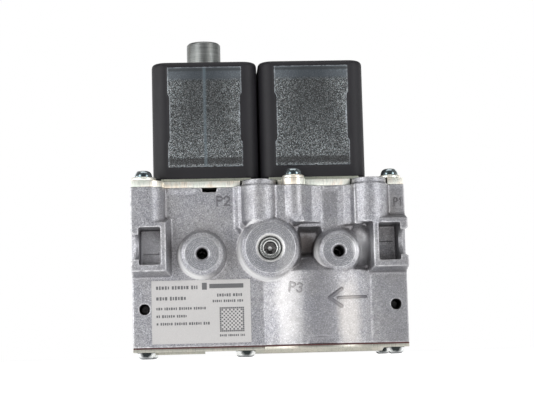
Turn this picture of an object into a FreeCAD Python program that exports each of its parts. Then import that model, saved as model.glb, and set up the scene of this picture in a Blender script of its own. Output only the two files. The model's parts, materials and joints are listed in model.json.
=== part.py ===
"""Double solenoid gas valve with a servo pressure regulator, as a parametric assembly.

Frame: +X towards the gas inlet, so gas flows towards -X. -Y is the front, where the
pressure taps and the rating label are. +Z is up, towards the two coils. The origin is
under the middle of the body, level with the heads of the bottom screws.
"""
import FreeCAD, Part
import os
import re
import Sketcher

Vector = FreeCAD.Vector
DOC = FreeCAD.newDocument("gas_valve")

# Driving dimensions in millimetres. Each name becomes an alias in the sheet.
SIZES = {
    # Casting envelope
    "body_half": 62.2,
    "face_front": 28.0,
    "pad_front": 36.0,
    "boss_front": 36.8,
    "bore_boss_front": 37.0,
    "body_bottom": 5.1,
    "body_top": 77.0,
    "column_top": 79.8,
    # Axes of the two valves, and the diaphragm chamber round the right one
    "left_axis": -28.0,
    "right_axis": 21.2,
    "bulge_radius": 37.0,
    "bulge_top": 38.0,
    # Screw columns and pads on the front and back faces
    "pad_round_centre": -54.6,
    "pad_round_radius": 7.6,
    "pad_bottom": 60.5,
    "ear_offset": 30.5,
    "ear_radius": 5.5,
    "ear_place": 11.4,
    "corner_screw_place": 56.4,
    "right_screw_offset": 22.5,
    "tall_column_radius": 8.5,
    "middle_column_place": -4.1,
    "middle_column_foot": 61.0,
    "right_column_place": 46.0,
    "right_column_foot": 59.3,
    "ear_foot": 64.0,
    "web_foot": 60.0,
    "web_end": 24.5,
    # Flange bolt pockets
    "frame_inner": 46.6,
    "frame_foot": 44.3,
    "frame_low": 39.0,
    "frame_high": 60.8,
    "frame_foot_low": 36.8,
    "frame_foot_high": 63.2,
    "pocket_inner": 49.0,
    "pocket_outer": 58.7,
    "pocket_low": 42.0,
    "pocket_high": 58.8,
    "pocket_back": 19.0,
    "bolt_height": 50.0,
    "bolt_offset": 33.0,
    "bolt_channel_radius": 5.5,
    # Taps and bosses on the front
    "tap_height": 46.4,
    "left_tap_place": -30.5,
    "left_tap_face": 8.1,
    "left_tap_base": 10.5,
    "right_tap_place": 30.8,
    "right_tap_face": 7.6,
    "right_tap_base": 10.2,
    "right_tap_root": 11.2,
    "tap_mouth": 3.4,
    "tap_drilling": 1.2,
    "tap_radius": 2.45,
    "tap_depth": 14.0,
    "adjuster_height": 48.4,
    "adjuster_radius": 5.0,
    "adjuster_mouth": 6.6,
    "adjuster_face": 11.6,
    "adjuster_base": 13.6,
    "adjuster_bore_end": 14.0,
    "valley_floor": 22.0,
    "cave_place": 41.4,
    "cave_radius": 5.0,
    "cave_low": 44.5,
    "cave_high": 53.8,
    "bridge_foot": 57.0,
    "fillet_foot": 58.5,
    "bracket_hole_place": 56.8,
    "bracket_hole_height": 22.4,
    "bracket_hole_radius": 2.4,
    # Gas way
    "port_height": 50.0,
    "port_radius": 10.5,
    "port_depth": 16.0,
    "passage_radius": 8.0,
    "chamber_radius": 12.0,
    "chamber_floor": 42.0,
    "seat_top": 44.0,
    "seat_bore": 6.0,
    "seat_underside": 36.0,
    "duct_height": 24.0,
    "duct_radius": 7.0,
    "seal_inner": 12.9,
    "seal_outer": 15.5,
    "seal_groove": 1.8,
    "strainer_radius": 9.5,
    "strainer_pitch": 3.2,
    "strainer_hole": 1.2,
    "flange_seat": 73.5,
    "flange_seat_radius": 14.2,
    # Plates and yokes
    "plate_top": 79.9,
    "yoke_top": 81.5,
    "yoke_half": 20.6,
    "yoke_strip_half": 25.4,
    "yoke_sheet": 2.0,
    # Coils
    "coil_half": 24.3,
    "coil_front": 25.0,
    "coil_top": 136.0,
    "coil_corner": 6.5,
    "coil_edge": 2.0,
    "panel_half": 17.0,
    "panel_low": 86.9,
    "panel_high": 133.7,
    "panel_relief": 0.4,
    "socket_low": 88.0,
    "socket_high": 100.0,
    "socket_half": 9.0,
    "socket_back": 36.0,
    # Armature tube and its core
    "tube_radius": 7.6,
    "tube_bore": 7.05,
    "core_radius": 7.0,
    "core_bottom": 104.0,
    "plunger_radius": 6.95,
    "plunger_top": 100.4,
    "plunger_bottom": 66.0,
    "stud_radius": 4.0,
    "nut_corner": 7.5,
    "nut_height": 2.1,
    # Flow adjuster on the left core
    "knob_radius": 8.0,
    "knob_top": 149.5,
    # Regulator
    "diaphragm_rim": 33.0,
    "diaphragm_height": 12.0,
    "diaphragm_sheet": 0.7,
    "web_radius": 22.0,
    "stem_radius": 2.5,
    "disc_radius": 20.0,
    # Bottom cover
    "gasket_sheet": 0.5,
    "cover_sheet": 1.5,
    "cover_underside": 3.1,
    "dish_radius": 32.7,
    "dish_underside": 1.5,
    "bottom_screw_offset": 23.5,
    "bottom_middle_place": -11.2,
    # Fasteners
    "screw_radius": 2.0,
    "screw_hole": 2.05,
    "head_radius": 4.1,
    "washer_radius": 5.0,
    "corner_washer_radius": 5.7,
    "washer_sheet": 1.6,
    "plate_head": 3.2,
    "bottom_head": 3.1,
    "plate_shank": 12.0,
    "bottom_shank": 11.0,
    # Rating label
    "label_left": -53.6,
    "label_right": -9.1,
    "label_low": 6.7,
    "label_high": 35.1,
    "label_sheet": 0.12,
}


def fill_sheet():
    """Put each driving dimension in a cell of the sheet, with its name as the alias."""
    sheet = DOC.addObject("Spreadsheet::Sheet", "sizes")
    for row, (alias, number) in enumerate(SIZES.items(), start=1):
        sheet.set(f"A{row}", alias)
        sheet.set(f"B{row}", str(number))
        sheet.setAlias(f"B{row}", alias)
    DOC.recompute()


def formula(text):
    """Return an expression in which each driving dimension reads its cell."""
    def cell(word):
        return "sizes." + word.group() if word.group() in SIZES else word.group()
    return re.sub(r"[a-z][a-z_]*", cell, str(text))


def bind(thing, prop, text):
    """Bind one property of an object to a formula of driving dimensions."""
    thing.setExpression(prop, formula(text))


def number(text):
    """Return the value of a formula, read through a scratch vertex."""
    probe = DOC.getObject("probe") or DOC.addObject("Part::Vertex", "probe")
    bind(probe, "X", text)
    probe.recompute()
    return float(probe.X)


def place(thing, x, y, z, turn=None):
    """Give an object its Placement, each coordinate bound to a formula."""
    thing.Placement = FreeCAD.Placement(Vector(0, 0, 0), turn or FreeCAD.Rotation())
    for axis, text in zip("xyz", (x, y, z)):
        bind(thing, f"Placement.Base.{axis}", text)


# ---------------------------------------------------------------- primitives

ALONG = {
    "X": FreeCAD.Rotation(Vector(0, 1, 0), 90),
    "Y": FreeCAD.Rotation(Vector(1, 0, 0), -90),
    "Z": FreeCAD.Rotation(),
}


def span_place(thing, axis, centre, low):
    """Stand a round primitive on its low end, with its length along the axis."""
    first, second = centre
    spots = {"X": (low, first, second), "Y": (first, low, second), "Z": (first, second, low)}
    place(thing, *spots[axis], ALONG[axis])


def box(name, x, y, z):
    """A box between a low and a high formula on each axis."""
    block = DOC.addObject("Part::Box", name)
    for prop, (low, high) in zip(("Length", "Width", "Height"), (x, y, z)):
        bind(block, prop, f"({high}) - ({low})")
    place(block, x[0], y[0], z[0])
    return block


def rod(name, axis, radius, centre, span):
    """A cylinder along an axis; centre is its place on the other two axes."""
    cylinder = DOC.addObject("Part::Cylinder", name)
    bind(cylinder, "Radius", radius)
    bind(cylinder, "Height", f"({span[1]}) - ({span[0]})")
    span_place(cylinder, axis, centre, span[0])
    return cylinder


def taper(name, axis, radii, centre, span):
    """A cone frustum along an axis, with its radius at the low and the high end."""
    frustum = DOC.addObject("Part::Cone", name)
    bind(frustum, "Radius1", radii[0])
    bind(frustum, "Radius2", radii[1])
    bind(frustum, "Height", f"({span[1]}) - ({span[0]})")
    span_place(frustum, axis, centre, span[0])
    return frustum


def ball(name, radius, x, y, z):
    sphere = DOC.addObject("Part::Sphere", name)
    bind(sphere, "Radius", radius)
    place(sphere, x, y, z)
    return sphere


def drafted(name, y, near, far):
    """A block whose face at low Y and face at high Y are rectangles of their own."""
    wedge = DOC.addObject("Part::Wedge", name)
    bind(wedge, "Ymin", y[0])
    bind(wedge, "Ymax", y[1])
    for prop, text in zip(("Xmin", "Xmax", "Zmin", "Zmax"), near):
        bind(wedge, prop, text)
    for prop, text in zip(("X2min", "X2max", "Z2min", "Z2max"), far):
        bind(wedge, prop, text)
    return wedge


def fuse(name, shapes):
    joined = DOC.addObject("Part::MultiFuse", name)
    joined.Shapes = shapes
    return joined


def cut(name, base, tools):
    tool = tools[0] if len(tools) == 1 else fuse(name + "_tools", tools)
    result = DOC.addObject("Part::Cut", name)
    result.Base = base
    result.Tool = tool
    return result


def group(name, shapes):
    """Identical separate solids that share one node."""
    compound = DOC.addObject("Part::Compound", name)
    compound.Links = shapes
    return compound


# ---------------------------------------------------------------- sketched bodies

def origin_plane(body, role):
    return [plane for plane in body.Origin.OriginFeatures if plane.Role == role][0]


def outline(body, name, plane, points, height="0"):
    """A closed sketch outline whose corners are bound to pairs of formulas."""
    sketch = body.newObject("Sketcher::SketchObject", name)
    sketch.AttachmentSupport = (origin_plane(body, plane), [""])
    sketch.MapMode = "FlatFace"
    bind(sketch, "AttachmentOffset.Base.z", height)
    corners = [(number(first), number(second)) for first, second in points]
    count = len(points)
    for index, (first, second) in enumerate(corners):
        following = corners[(index + 1) % count]
        line = Part.LineSegment(Vector(first, second, 0), Vector(*following, 0))
        sketch.addGeometry(line)
    for index in range(count):
        sketch.addConstraint(Sketcher.Constraint("Coincident", index, 2, (index + 1) % count, 1))
    for index, texts in enumerate(points):
        for kind, axis_line, text in zip(("DistanceX", "DistanceY"), (-2, -1), texts):
            lock_corner(sketch, index, kind, axis_line, text)
    return sketch


def lock_corner(sketch, corner, kind, axis_line, text):
    """Hold one coordinate of a corner: on the axis, or at a bound distance from it."""
    distance = number(text)
    if abs(distance) < 1e-9:
        sketch.addConstraint(Sketcher.Constraint("PointOnObject", corner, 1, axis_line))
        return
    place_in_list = sketch.addConstraint(Sketcher.Constraint(kind, -1, 1, corner, 1, distance))
    bind(sketch, f"Constraints[{place_in_list}]", text)


def turned(name, points, x, y="0", z="0", turn=None):
    """A body of revolution about its own upright axis, from (radius, height) corners."""
    body = DOC.addObject("PartDesign::Body", name)
    sketch = outline(body, name + "_profile", "XZ_Plane", points)
    revolution = body.newObject("PartDesign::Revolution", name + "_turning")
    revolution.Profile = sketch
    revolution.ReferenceAxis = (sketch, ["V_Axis"])
    revolution.Angle = 360
    body.Tip = revolution
    place(body, x, y, z, turn)
    return body


def padded(name, points, low, high):
    """A flat plate: an outline in plan, padded between two heights."""
    body = DOC.addObject("PartDesign::Body", name)
    sketch = outline(body, name + "_outline", "XY_Plane", points, low)
    pad = body.newObject("PartDesign::Pad", name + "_pad")
    pad.Profile = sketch
    bind(pad, "Length", f"({high}) - ({low})")
    body.Tip = pad
    return body


def rectangle(x, y):
    return [(x[0], y[0]), (x[1], y[0]), (x[1], y[1]), (x[0], y[1])]


def rounded(body, name, radius, wanted):
    """Fillet the edges of a body's tip that the test picks."""
    DOC.recompute()
    base = body.Tip
    names = [f"Edge{index}" for index, edge in enumerate(base.Shape.Edges, 1) if wanted(edge)]
    fillet = body.newObject("PartDesign::Fillet", name)
    fillet.Base = (base, names)
    bind(fillet, "Radius", radius)
    body.Tip = fillet
    DOC.recompute()


def upright(edge):
    """True for an edge that runs straight up."""
    bounds = edge.BoundBox
    return bounds.ZLength > 1 and bounds.XLength < 1e-6 and bounds.YLength < 1e-6


# ---------------------------------------------------------------- casting

SIDES = (("front", -1), ("back", 1))


def reach(side, near, far):
    """The Y span between two distances from the middle plane, on one side of it."""
    return (f"-({far})", f"-({near})") if side < 0 else (near, far)


def side_columns(label, side):
    """Screw pad, screw columns and flange bolt frames on the front or the back."""
    shapes = []
    across = reach(side, "face_front - 1", "pad_front")
    round_middle = f"{side} * (pad_front - pad_round_radius)"
    shapes.append(box(f"pad_{label}", ("-body_half", "pad_round_centre"), across,
                      ("pad_bottom", "body_top")))
    shapes.append(rod(f"pad_round_{label}", "Z", "pad_round_radius",
                      ("pad_round_centre", round_middle), ("pad_bottom", "body_top")))
    shapes += ear_column(f"ear_column_{label}", "ear_place", side)
    web = (("ear_place", "face_front - 1"), ("web_end", "face_front - 1"),
           ("web_end", "face_front"), ("web_end - 5", "face_front + 2.6"),
           ("ear_place + 3.9", "pad_front - 1.7"), ("ear_place", "pad_front - 1"))
    shapes.append(padded(f"column_web_{label}", [(x, f"{side} * ({y})") for x, y in web],
                         "web_foot", "body_top"))
    start = "right_column_place - tall_column_radius"
    fillet = ((f"{start} - 6.5", "face_front - 1"), (f"{start} - 6.5", "face_front"),
              (f"{start} - 3", "face_front + 0.9"), (f"{start} - 0.2", "face_front + 3.2"),
              (f"{start} + 1.1", "face_front + 6"), (f"{start} + 4.5", "face_front + 6"),
              (f"{start} + 4.5", "face_front - 1"))
    shapes.append(padded(f"column_fillet_{label}", [(x, f"{side} * ({y})") for x, y in fillet],
                         "fillet_foot", "body_top"))
    shapes.append(rod(f"right_column_{label}", "Z", "tall_column_radius",
                      ("right_column_place", f"{side} * face_front"),
                      ("right_column_foot", "body_top")))
    for sign, name in ((-1, "left"), (1, "right")):
        shapes.append(bolt_frame(f"{name}_frame_{label}", sign, side))
    return shapes


def ear_column(name, x, side):
    """A screw column with a round lower end, under one ear of a plate."""
    centre = (x, f"{side} * ear_offset")
    return [rod(name, "Z", "ear_radius", centre, ("ear_foot", "body_top")),
            ball(name + "_end", "ear_radius", *centre, "ear_foot")]


def bolt_frame(name, sign, side):
    """A raised frame with drafted walls round one flange bolt pocket."""
    def ends(inner):
        return ("-body_half", f"-({inner})") if sign < 0 else (inner, "body_half")
    crown = (*ends("frame_inner"), "frame_low", "frame_high")
    foot = (*ends("frame_foot"), "frame_foot_low", "frame_foot_high")
    span = reach(side, "face_front", "pad_front")
    return drafted(name, span, *((crown, foot) if side < 0 else (foot, crown)))


def tall_columns():
    """The two columns at the front that rise level with the top of the plates."""
    shapes = []
    front = "-face_front"
    shapes.append(rod("middle_column", "Z", "tall_column_radius",
                      ("middle_column_place", front), ("middle_column_foot", "body_top")))
    shapes.append(taper("middle_column_neck", "Z", ("5", "tall_column_radius"),
                        ("middle_column_place", front),
                        ("middle_column_foot - 5.5", "middle_column_foot")))
    for label, spot in (("middle", "middle_column_place"), ("right", "right_column_place")):
        shapes.append(rod(f"{label}_column_collar", "Z", "tall_column_radius - 0.35",
                          (spot, front), ("body_top", "column_top")))
    shapes.append(box("column_bridge", ("3", "8.5"), ("-face_front - 6.3", "-face_front + 1"),
                      ("bridge_foot", "body_top")))
    return shapes + ear_column("back_ear_column", "-ear_place", 1)


def front_bosses():
    """The bosses round the two pressure taps and the regulator adjuster."""
    right_tap = ("right_tap_place", "tap_height")
    return [
        taper("left_tap_boss", "Y", ("left_tap_face", "left_tap_base"),
              ("left_tap_place", "tap_height"), ("-boss_front", "-face_front + 0.1")),
        taper("right_tap_boss", "Y", ("right_tap_face", "right_tap_base"), right_tap,
              ("-boss_front", "-face_front + 0.1")),
        taper("right_tap_skirt", "Y", ("right_tap_face + 1.4", "right_tap_root"), right_tap,
              ("-face_front - 3.5", "-face_front - 0.5")),
        rod("right_tap_neck", "Y", "right_tap_root", right_tap,
            ("-face_front - 0.5", "-valley_floor")),
        taper("adjuster_boss", "Y", ("adjuster_face", "adjuster_base"), ("0", "adjuster_height"),
              ("-bore_boss_front", "-face_front + 0.1")),
        drafted("left_plate_step", ("-face_front - 0.7", "-face_front"),
                ("-45.4", "-33.6", "75.3", "body_top"), ("-46", "-33", "74.8", "body_top")),
        drafted("right_plate_step", ("-face_front - 0.7", "-face_front"),
                ("25.2", "31.8", "75.4", "body_top"), ("24.8", "32.3", "75", "body_top")),
    ]


def outer_form():
    """Everything that stands out on the casting, and the valley between its bosses."""
    shapes = [
        box("core_block", ("-body_half", "body_half"), ("-face_front", "face_front"),
            ("body_bottom", "body_top")),
        rod("chamber_wall", "Z", "bulge_radius", ("right_axis", "0"),
            ("body_bottom", "bulge_top")),
        taper("chamber_shoulder", "Z", ("bulge_radius", "bulge_radius - 11"),
              ("right_axis", "0"), ("bulge_top", "bulge_top + 7.5")),
    ]
    for label, side in SIDES:
        shapes += side_columns(label, side)
    valley = drafted("valley", ("-face_front - 3", "-valley_floor"),
                     ("12", "25.5", "42.5", "60"), ("14.8", "21", "47.5", "55"))
    return fuse("outer_form", [cut("valley_form", fuse("plain_form", shapes + tall_columns()),
                                   [valley])] + front_bosses())


def flange_cavities():
    """Bolt pockets and channels, port bores and seal grooves of the two flanges."""
    tools = []
    for label, side in SIDES:
        for sign, name in ((-1, "left"), (1, "right")):
            tools += bolt_pocket(f"{name}_{label}", sign, side)
    for sign, name in ((-1, "outlet"), (1, "inlet")):
        tools += port(name, sign)
    return tools


def along_x(sign, near, far):
    return (f"-({far})", f"-({near})") if sign < 0 else (near, far)


def bolt_pocket(name, sign, side):
    """A pocket for a nut, and the half-round channel that lets its bolt in."""
    wall = along_x(sign, "pocket_outer - 1", "body_half + 1")
    return [
        box(f"pocket_{name}", along_x(sign, "pocket_inner", "pocket_outer"),
            reach(side, "pocket_back", "pad_front + 1"), ("pocket_low", "pocket_high")),
        rod(f"channel_{name}", "X", "bolt_channel_radius",
            (f"{side} * bolt_offset", "bolt_height"), wall),
        box(f"channel_mouth_{name}", wall, reach(side, "bolt_offset", "pad_front + 1"),
            ("bolt_height - bolt_channel_radius", "bolt_height + bolt_channel_radius")),
        box(f"channel_relief_{name}", along_x(sign, "body_half - 1.1", "body_half + 1"),
            reach(side, "face_front - 1.5", "pad_front + 1"),
            ("bolt_height - 6.1", "bolt_height + 6.1")),
    ]


def port(name, sign):
    """A port bore with its passage to a valve chamber and a seal groove round it."""
    centre = ("0", "port_height")
    passage_end = "-left_axis" if sign < 0 else "right_axis"
    groove = cut(f"{name}_groove",
                 rod(f"{name}_groove_disc", "X", "seal_outer", centre,
                     along_x(sign, "body_half - seal_groove", "body_half + 1")),
                 [rod(f"{name}_groove_core", "X", "seal_inner", centre,
                      along_x(sign, "body_half - 2", "body_half + 2"))])
    return [
        groove,
        rod(f"{name}_bore", "X", "port_radius", centre,
            along_x(sign, "body_half - port_depth", "body_half + 1")),
        rod(f"{name}_strainer_seat", "X", "strainer_radius", centre,
            along_x(sign, "body_half - port_depth - 2", "body_half - port_depth")),
        rod(f"{name}_passage", "X", "passage_radius", centre,
            along_x(sign, passage_end, "body_half - port_depth - 1")),
    ]


def front_cavities():
    """Hollows, taps and tapped holes that open on the front face."""
    front = "-boss_front - 1"
    tools = [
        rod("cave", "Z", "cave_radius", ("cave_place", "-face_front - 0.8"),
            ("cave_low", "cave_high")),
        ball("cave_low_end", "cave_radius", "cave_place", "-face_front - 0.8", "cave_low"),
        ball("cave_high_end", "cave_radius", "cave_place", "-face_front - 0.8", "cave_high"),
        box("plate_slot", ("-30", "-23.5"), ("-face_front - 1", "-face_front + 11"),
            ("74.9", "body_top")),
        box("bulge_flat", ("15.6", "29.8"), ("-bulge_radius - 1", "-bulge_radius + 0.9"),
            ("body_bottom", "8.4")),
        rod("outlet_tap", "Y", "tap_radius", ("left_tap_place", "tap_height"),
            (front, "-boss_front + tap_depth")),
        rod("outlet_tap_drilling", "Y", "tap_drilling", ("left_tap_place", "tap_height"),
            (front, "-9")),
        taper("outlet_tap_mouth", "Y", ("tap_mouth", "tap_radius"), ("left_tap_place", "tap_height"),
              ("-boss_front - 0.01", "-boss_front + 0.9")),
        rod("inlet_tap", "Y", "tap_radius", ("right_tap_place", "tap_height"),
            (front, "-boss_front + tap_depth")),
        rod("inlet_tap_drilling", "Y", "tap_drilling", ("right_tap_place", "tap_height"),
            (front, "-5")),
        taper("inlet_tap_mouth", "Y", ("tap_mouth", "tap_radius"), ("right_tap_place", "tap_height"),
              ("-boss_front - 0.01", "-boss_front + 0.9")),
        taper("adjuster_mouth", "Y", ("adjuster_mouth", "adjuster_radius"), ("0", "adjuster_height"),
              ("-bore_boss_front - 0.01", "-bore_boss_front + 1.7")),
        rod("adjuster_bore", "Y", "adjuster_radius", ("0", "adjuster_height"),
            ("-bore_boss_front - 1", "-adjuster_bore_end")),
    ]
    for sign, name in ((-1, "left"), (1, "right")):
        tools.append(rod(f"{name}_bracket_hole", "Y", "bracket_hole_radius",
                         (f"{sign} * bracket_hole_place", "bracket_hole_height"),
                         (front, "-face_front + 12")))
    return tools


def inner_cavities():
    """Valve chambers, the duct between them and the diaphragm chamber below."""
    tools = []
    for name, axis in (("left", "left_axis"), ("right", "right_axis")):
        centre = (axis, "0")
        tools.append(rod(f"{name}_chamber", "Z", "chamber_radius", centre,
                         ("chamber_floor", "body_top + 1")))
        tools.append(rod(f"{name}_flange_seat", "Z", "flange_seat_radius", centre,
                         ("flange_seat", "body_top + 1")))
    tools += [
        rod("regulator_chamber", "Z", "16", ("right_axis", "0"), ("12", "seat_underside")),
        rod("diaphragm_chamber", "Z", "30", ("right_axis", "0"), ("body_bottom - 1", "16")),
        rod("diaphragm_groove", "Z", "diaphragm_rim", ("right_axis", "0"),
            ("body_bottom - 1", "body_bottom + 1.5")),
        rod("transfer_duct", "X", "duct_radius", ("0", "duct_height"),
            ("left_axis", "right_axis")),
        box("damping_pocket", ("-50", "-29"), ("-10", "10"), ("body_bottom - 1", "12")),
        rod("middle_column_drilling", "Z", "5", ("middle_column_place", "-face_front"),
            ("73", "column_top + 1")),
        rod("right_column_drilling", "Z", "5", ("right_column_place", "-face_front"),
            ("73", "column_top + 1")),
    ]
    return tools


LEFT_SCREWS = (("-corner_screw_place", "-ear_offset"), ("-corner_screw_place", "ear_offset"),
               ("-ear_place", "ear_offset"))
RIGHT_SCREWS = (("ear_place", "-ear_offset"), ("ear_place", "ear_offset"),
                ("corner_screw_place", "-right_screw_offset"),
                ("corner_screw_place", "right_screw_offset"))
BOTTOM_SCREWS = tuple((x, y) for x in ("-corner_screw_place", "bottom_middle_place",
                                       "corner_screw_place")
                      for y in ("-bottom_screw_offset", "bottom_screw_offset"))


def screw_holes():
    tools = []
    for index, centre in enumerate(LEFT_SCREWS + RIGHT_SCREWS, start=1):
        tools.append(rod(f"top_hole_{index}", "Z", "screw_hole", centre,
                         ("body_top - 14", "body_top + 1")))
    for index, centre in enumerate(BOTTOM_SCREWS, start=1):
        tools.append(rod(f"bottom_hole_{index}", "Z", "screw_hole", centre,
                         ("body_bottom - 1", "body_bottom + 11")))
    return tools


def valve_body():
    """The die-cast body with its cavities, and the two raised valve seats in it."""
    tools = flange_cavities() + front_cavities() + inner_cavities() + screw_holes()
    hollowed = cut("hollowed_form", outer_form(), tools)
    seats = [rod(f"{name}_seat", "Z", "seat_bore + 2", (axis, "0"),
                 ("chamber_floor - 2", "seat_top"))
             for name, axis in (("left", "left_axis"), ("right", "right_axis"))]
    bores = [
        rod("left_seat_bore", "Z", "seat_bore", ("left_axis", "0"), ("duct_height", "seat_top + 1")),
        rod("right_seat_bore", "Z", "seat_bore", ("right_axis", "0"),
            ("seat_underside - 1", "seat_top + 1")),
    ]
    return cut("valve_body", fuse("seated_form", [hollowed] + seats), bores)


# ---------------------------------------------------------------- flanges and bottom

def port_seal(name, sign):
    """A square-section seal ring in the groove of one flange."""
    profile = [("seal_inner + 0.1", "0"), ("seal_outer - 0.1", "0"),
               ("seal_outer - 0.1", "seal_groove"), ("seal_inner + 0.1", "seal_groove")]
    turn = FreeCAD.Rotation(Vector(0, 1, 0), 90 * sign)
    return turned(name, profile, f"{sign} * (body_half - seal_groove)", "0", "port_height", turn)


def inlet_strainer():
    """A perforated disc pressed into the step behind the inlet bore."""
    face = "body_half - port_depth - 1.5"
    disc = rod("strainer_disc", "X", "strainer_radius - 0.05", ("0", "port_height"),
               (face, "body_half - port_depth"))
    holes = []
    for row in range(-2, 3):
        for column in range(-2, 3):
            if abs(row) + abs(column) < 4:
                holes.append(rod(f"strainer_hole_{row + 3}_{column + 3}", "X", "strainer_hole",
                                 (f"{column} * strainer_pitch",
                                  f"port_height + {row} * strainer_pitch"),
                                 (f"{face} - 1", "body_half")))
    return cut("inlet_strainer", disc, holes)


def bottom_sheet(name, low, high):
    """A sheet with the outline of the body's underside."""
    return fuse(name, [
        box(name + "_block", ("-body_half + 0.1", "body_half - 0.1"),
            ("-face_front + 0.1", "face_front - 0.1"), (low, high)),
        rod(name + "_bulge", "Z", "bulge_radius - 0.1", ("right_axis", "0"), (low, high)),
    ])


def bottom_screw_tools(name, low, high):
    return [rod(f"{name}_hole_{index}", "Z", "screw_hole + 0.15", centre, (low, high))
            for index, centre in enumerate(BOTTOM_SCREWS, start=1)]


def bottom_gasket():
    low = "body_bottom - gasket_sheet"
    sheet = bottom_sheet("gasket_sheet_form", low, "body_bottom")
    opening = rod("gasket_opening", "Z", "30", ("right_axis", "0"), ("0", "body_bottom + 1"))
    pocket = box("gasket_pocket", ("-50", "-29"), ("-10", "10"), ("0", "body_bottom + 1"))
    return cut("bottom_gasket", sheet,
               [opening, pocket] + bottom_screw_tools("gasket", "0", "body_bottom + 1"))


def bottom_cover():
    """The pressed bottom cover, with a round dish and a smaller square one."""
    top = "cover_underside + cover_sheet"
    sheet = bottom_sheet("cover_form", "cover_underside", top)
    round_dish = taper("round_dish", "Z", ("dish_radius - 1", "dish_radius"),
                       ("right_axis", "0"), ("dish_underside", "cover_underside + 0.1"))
    square_dish = box("square_dish", ("-53", "-30"), ("-15", "15"),
                      ("dish_underside + 0.5", "cover_underside + 0.1"))
    hollows = [
        rod("round_dish_hollow", "Z", "dish_radius - 2.5", ("right_axis", "0"),
            ("dish_underside + cover_sheet", "body_bottom")),
        box("square_dish_hollow", ("-51", "-32"), ("-13", "13"),
            ("dish_underside + cover_sheet + 0.5", "body_bottom")),
    ]
    form = fuse("dished_cover_form", [sheet, round_dish, square_dish])
    return cut("bottom_cover", form,
               hollows + bottom_screw_tools("cover", "0", "body_bottom"))


def pan_screw(name, centre, seat, sign, shank, head, slot_turn):
    """A pan-head screw: sign is +1 with its head up and -1 with its head down."""
    def heights(near, far):
        low, high = (near, far) if sign > 0 else (f"-({far})", f"-({near})")
        return (f"{seat} + {low}", f"{seat} + {high}")
    skirt = rod(f"{name}_skirt", "Z", "head_radius", centre, heights("0", f"{head} * 0.35"))
    radii = ("head_radius", "head_radius - 1.3") if sign > 0 else ("head_radius - 1.3", "head_radius")
    crown = taper(f"{name}_crown", "Z", radii, centre, heights(f"{head} * 0.35", head))
    stem = rod(f"{name}_stem", "Z", "screw_radius", centre, heights(f"-({shank})", "0.2"))
    slot = DOC.addObject("Part::Box", f"{name}_slot")
    bind(slot, "Length", "2 * head_radius + 1")
    slot.Width = 1.1
    slot.Height = 1.6
    turn = FreeCAD.Rotation(Vector(0, 0, 1), slot_turn)
    corner = turn.multVec(Vector(-number("head_radius") - 0.5, -0.55, 0))
    slot_low = heights(f"{head} - 1.3", f"{head} + 0.3")[0]
    place(slot, f"{centre[0]} + {corner.x}", f"{centre[1]} + {corner.y}", slot_low, turn)
    return cut(name, fuse(f"{name}_form", [skirt, crown, stem]), [slot])


def bottom_cover_screws():
    screws = [pan_screw(f"bottom_screw_{index}", centre, "cover_underside", -1,
                        "bottom_shank", "bottom_head", 90)
              for index, centre in enumerate(BOTTOM_SCREWS, start=1)]
    return group("bottom_cover_screws", screws)


def plate_screws(name, places, turns):
    screws = [pan_screw(f"{name}_{index}", centre, "plate_top + washer_sheet", 1,
                        "plate_shank", "plate_head", turn)
              for index, (centre, turn) in enumerate(zip(places, turns), start=1)]
    return group(name, screws)


def plate_washers(name, places, radii):
    rings = []
    for index, (centre, radius) in enumerate(zip(places, radii), start=1):
        disc = rod(f"{name}_disc_{index}", "Z", radius, centre,
                   ("plate_top", "plate_top + washer_sheet"))
        hole = rod(f"{name}_hole_{index}", "Z", "screw_hole + 0.05", centre,
                   ("plate_top - 1", "plate_top + washer_sheet + 1"))
        rings.append(cut(f"{name}_{index}", disc, [hole]))
    return group(name, rings)


# ---------------------------------------------------------------- coil plates

def plate_pad(label, side):
    """The square ear of the left plate over one corner pad."""
    low_high = ("body_top", "plate_top")
    return [
        box(f"left_plate_pad_{label}", ("-body_half + 0.15", "pad_round_centre"),
            reach(side, "face_front - 1", "pad_front - 0.2"), low_high),
        rod(f"left_plate_round_{label}", "Z", "pad_round_radius - 0.2",
            ("pad_round_centre", f"{side} * (pad_front - pad_round_radius)"), low_high),
    ]


def plate_ear(name, x, side):
    return rod(name, "Z", "ear_radius - 0.1", (x, f"{side} * ear_offset"),
               ("body_top", "plate_top"))


def plate_holes(name, axis, places):
    tools = [rod(f"{name}_tube_hole", "Z", "tube_radius + 0.3", (axis, "0"),
                 ("body_top - 1", "plate_top + 1")),
             rod(f"{name}_middle_clearance", "Z", "tall_column_radius + 0.1",
                 ("middle_column_place", "-face_front"), ("body_top - 1", "plate_top + 1")),
             rod(f"{name}_right_clearance", "Z", "tall_column_radius + 0.1",
                 ("right_column_place", "-face_front"), ("body_top - 1", "plate_top + 1"))]
    for index, centre in enumerate(places, start=1):
        tools.append(rod(f"{name}_screw_hole_{index}", "Z", "screw_hole + 0.15", centre,
                         ("body_top - 1", "plate_top + 1")))
    return tools


def left_coil_plate():
    sheet = [box("left_plate_sheet", ("-body_half + 0.15", "-3.5"),
                 ("-face_front + 0.1", "face_front - 0.1"), ("body_top", "plate_top"))]
    for label, side in SIDES:
        sheet += plate_pad(label, side)
    sheet.append(plate_ear("left_plate_back_ear", "-ear_place", 1))
    return cut("left_coil_plate", fuse("left_plate_form", sheet),
               plate_holes("left_plate", "left_axis", LEFT_SCREWS))


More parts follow.
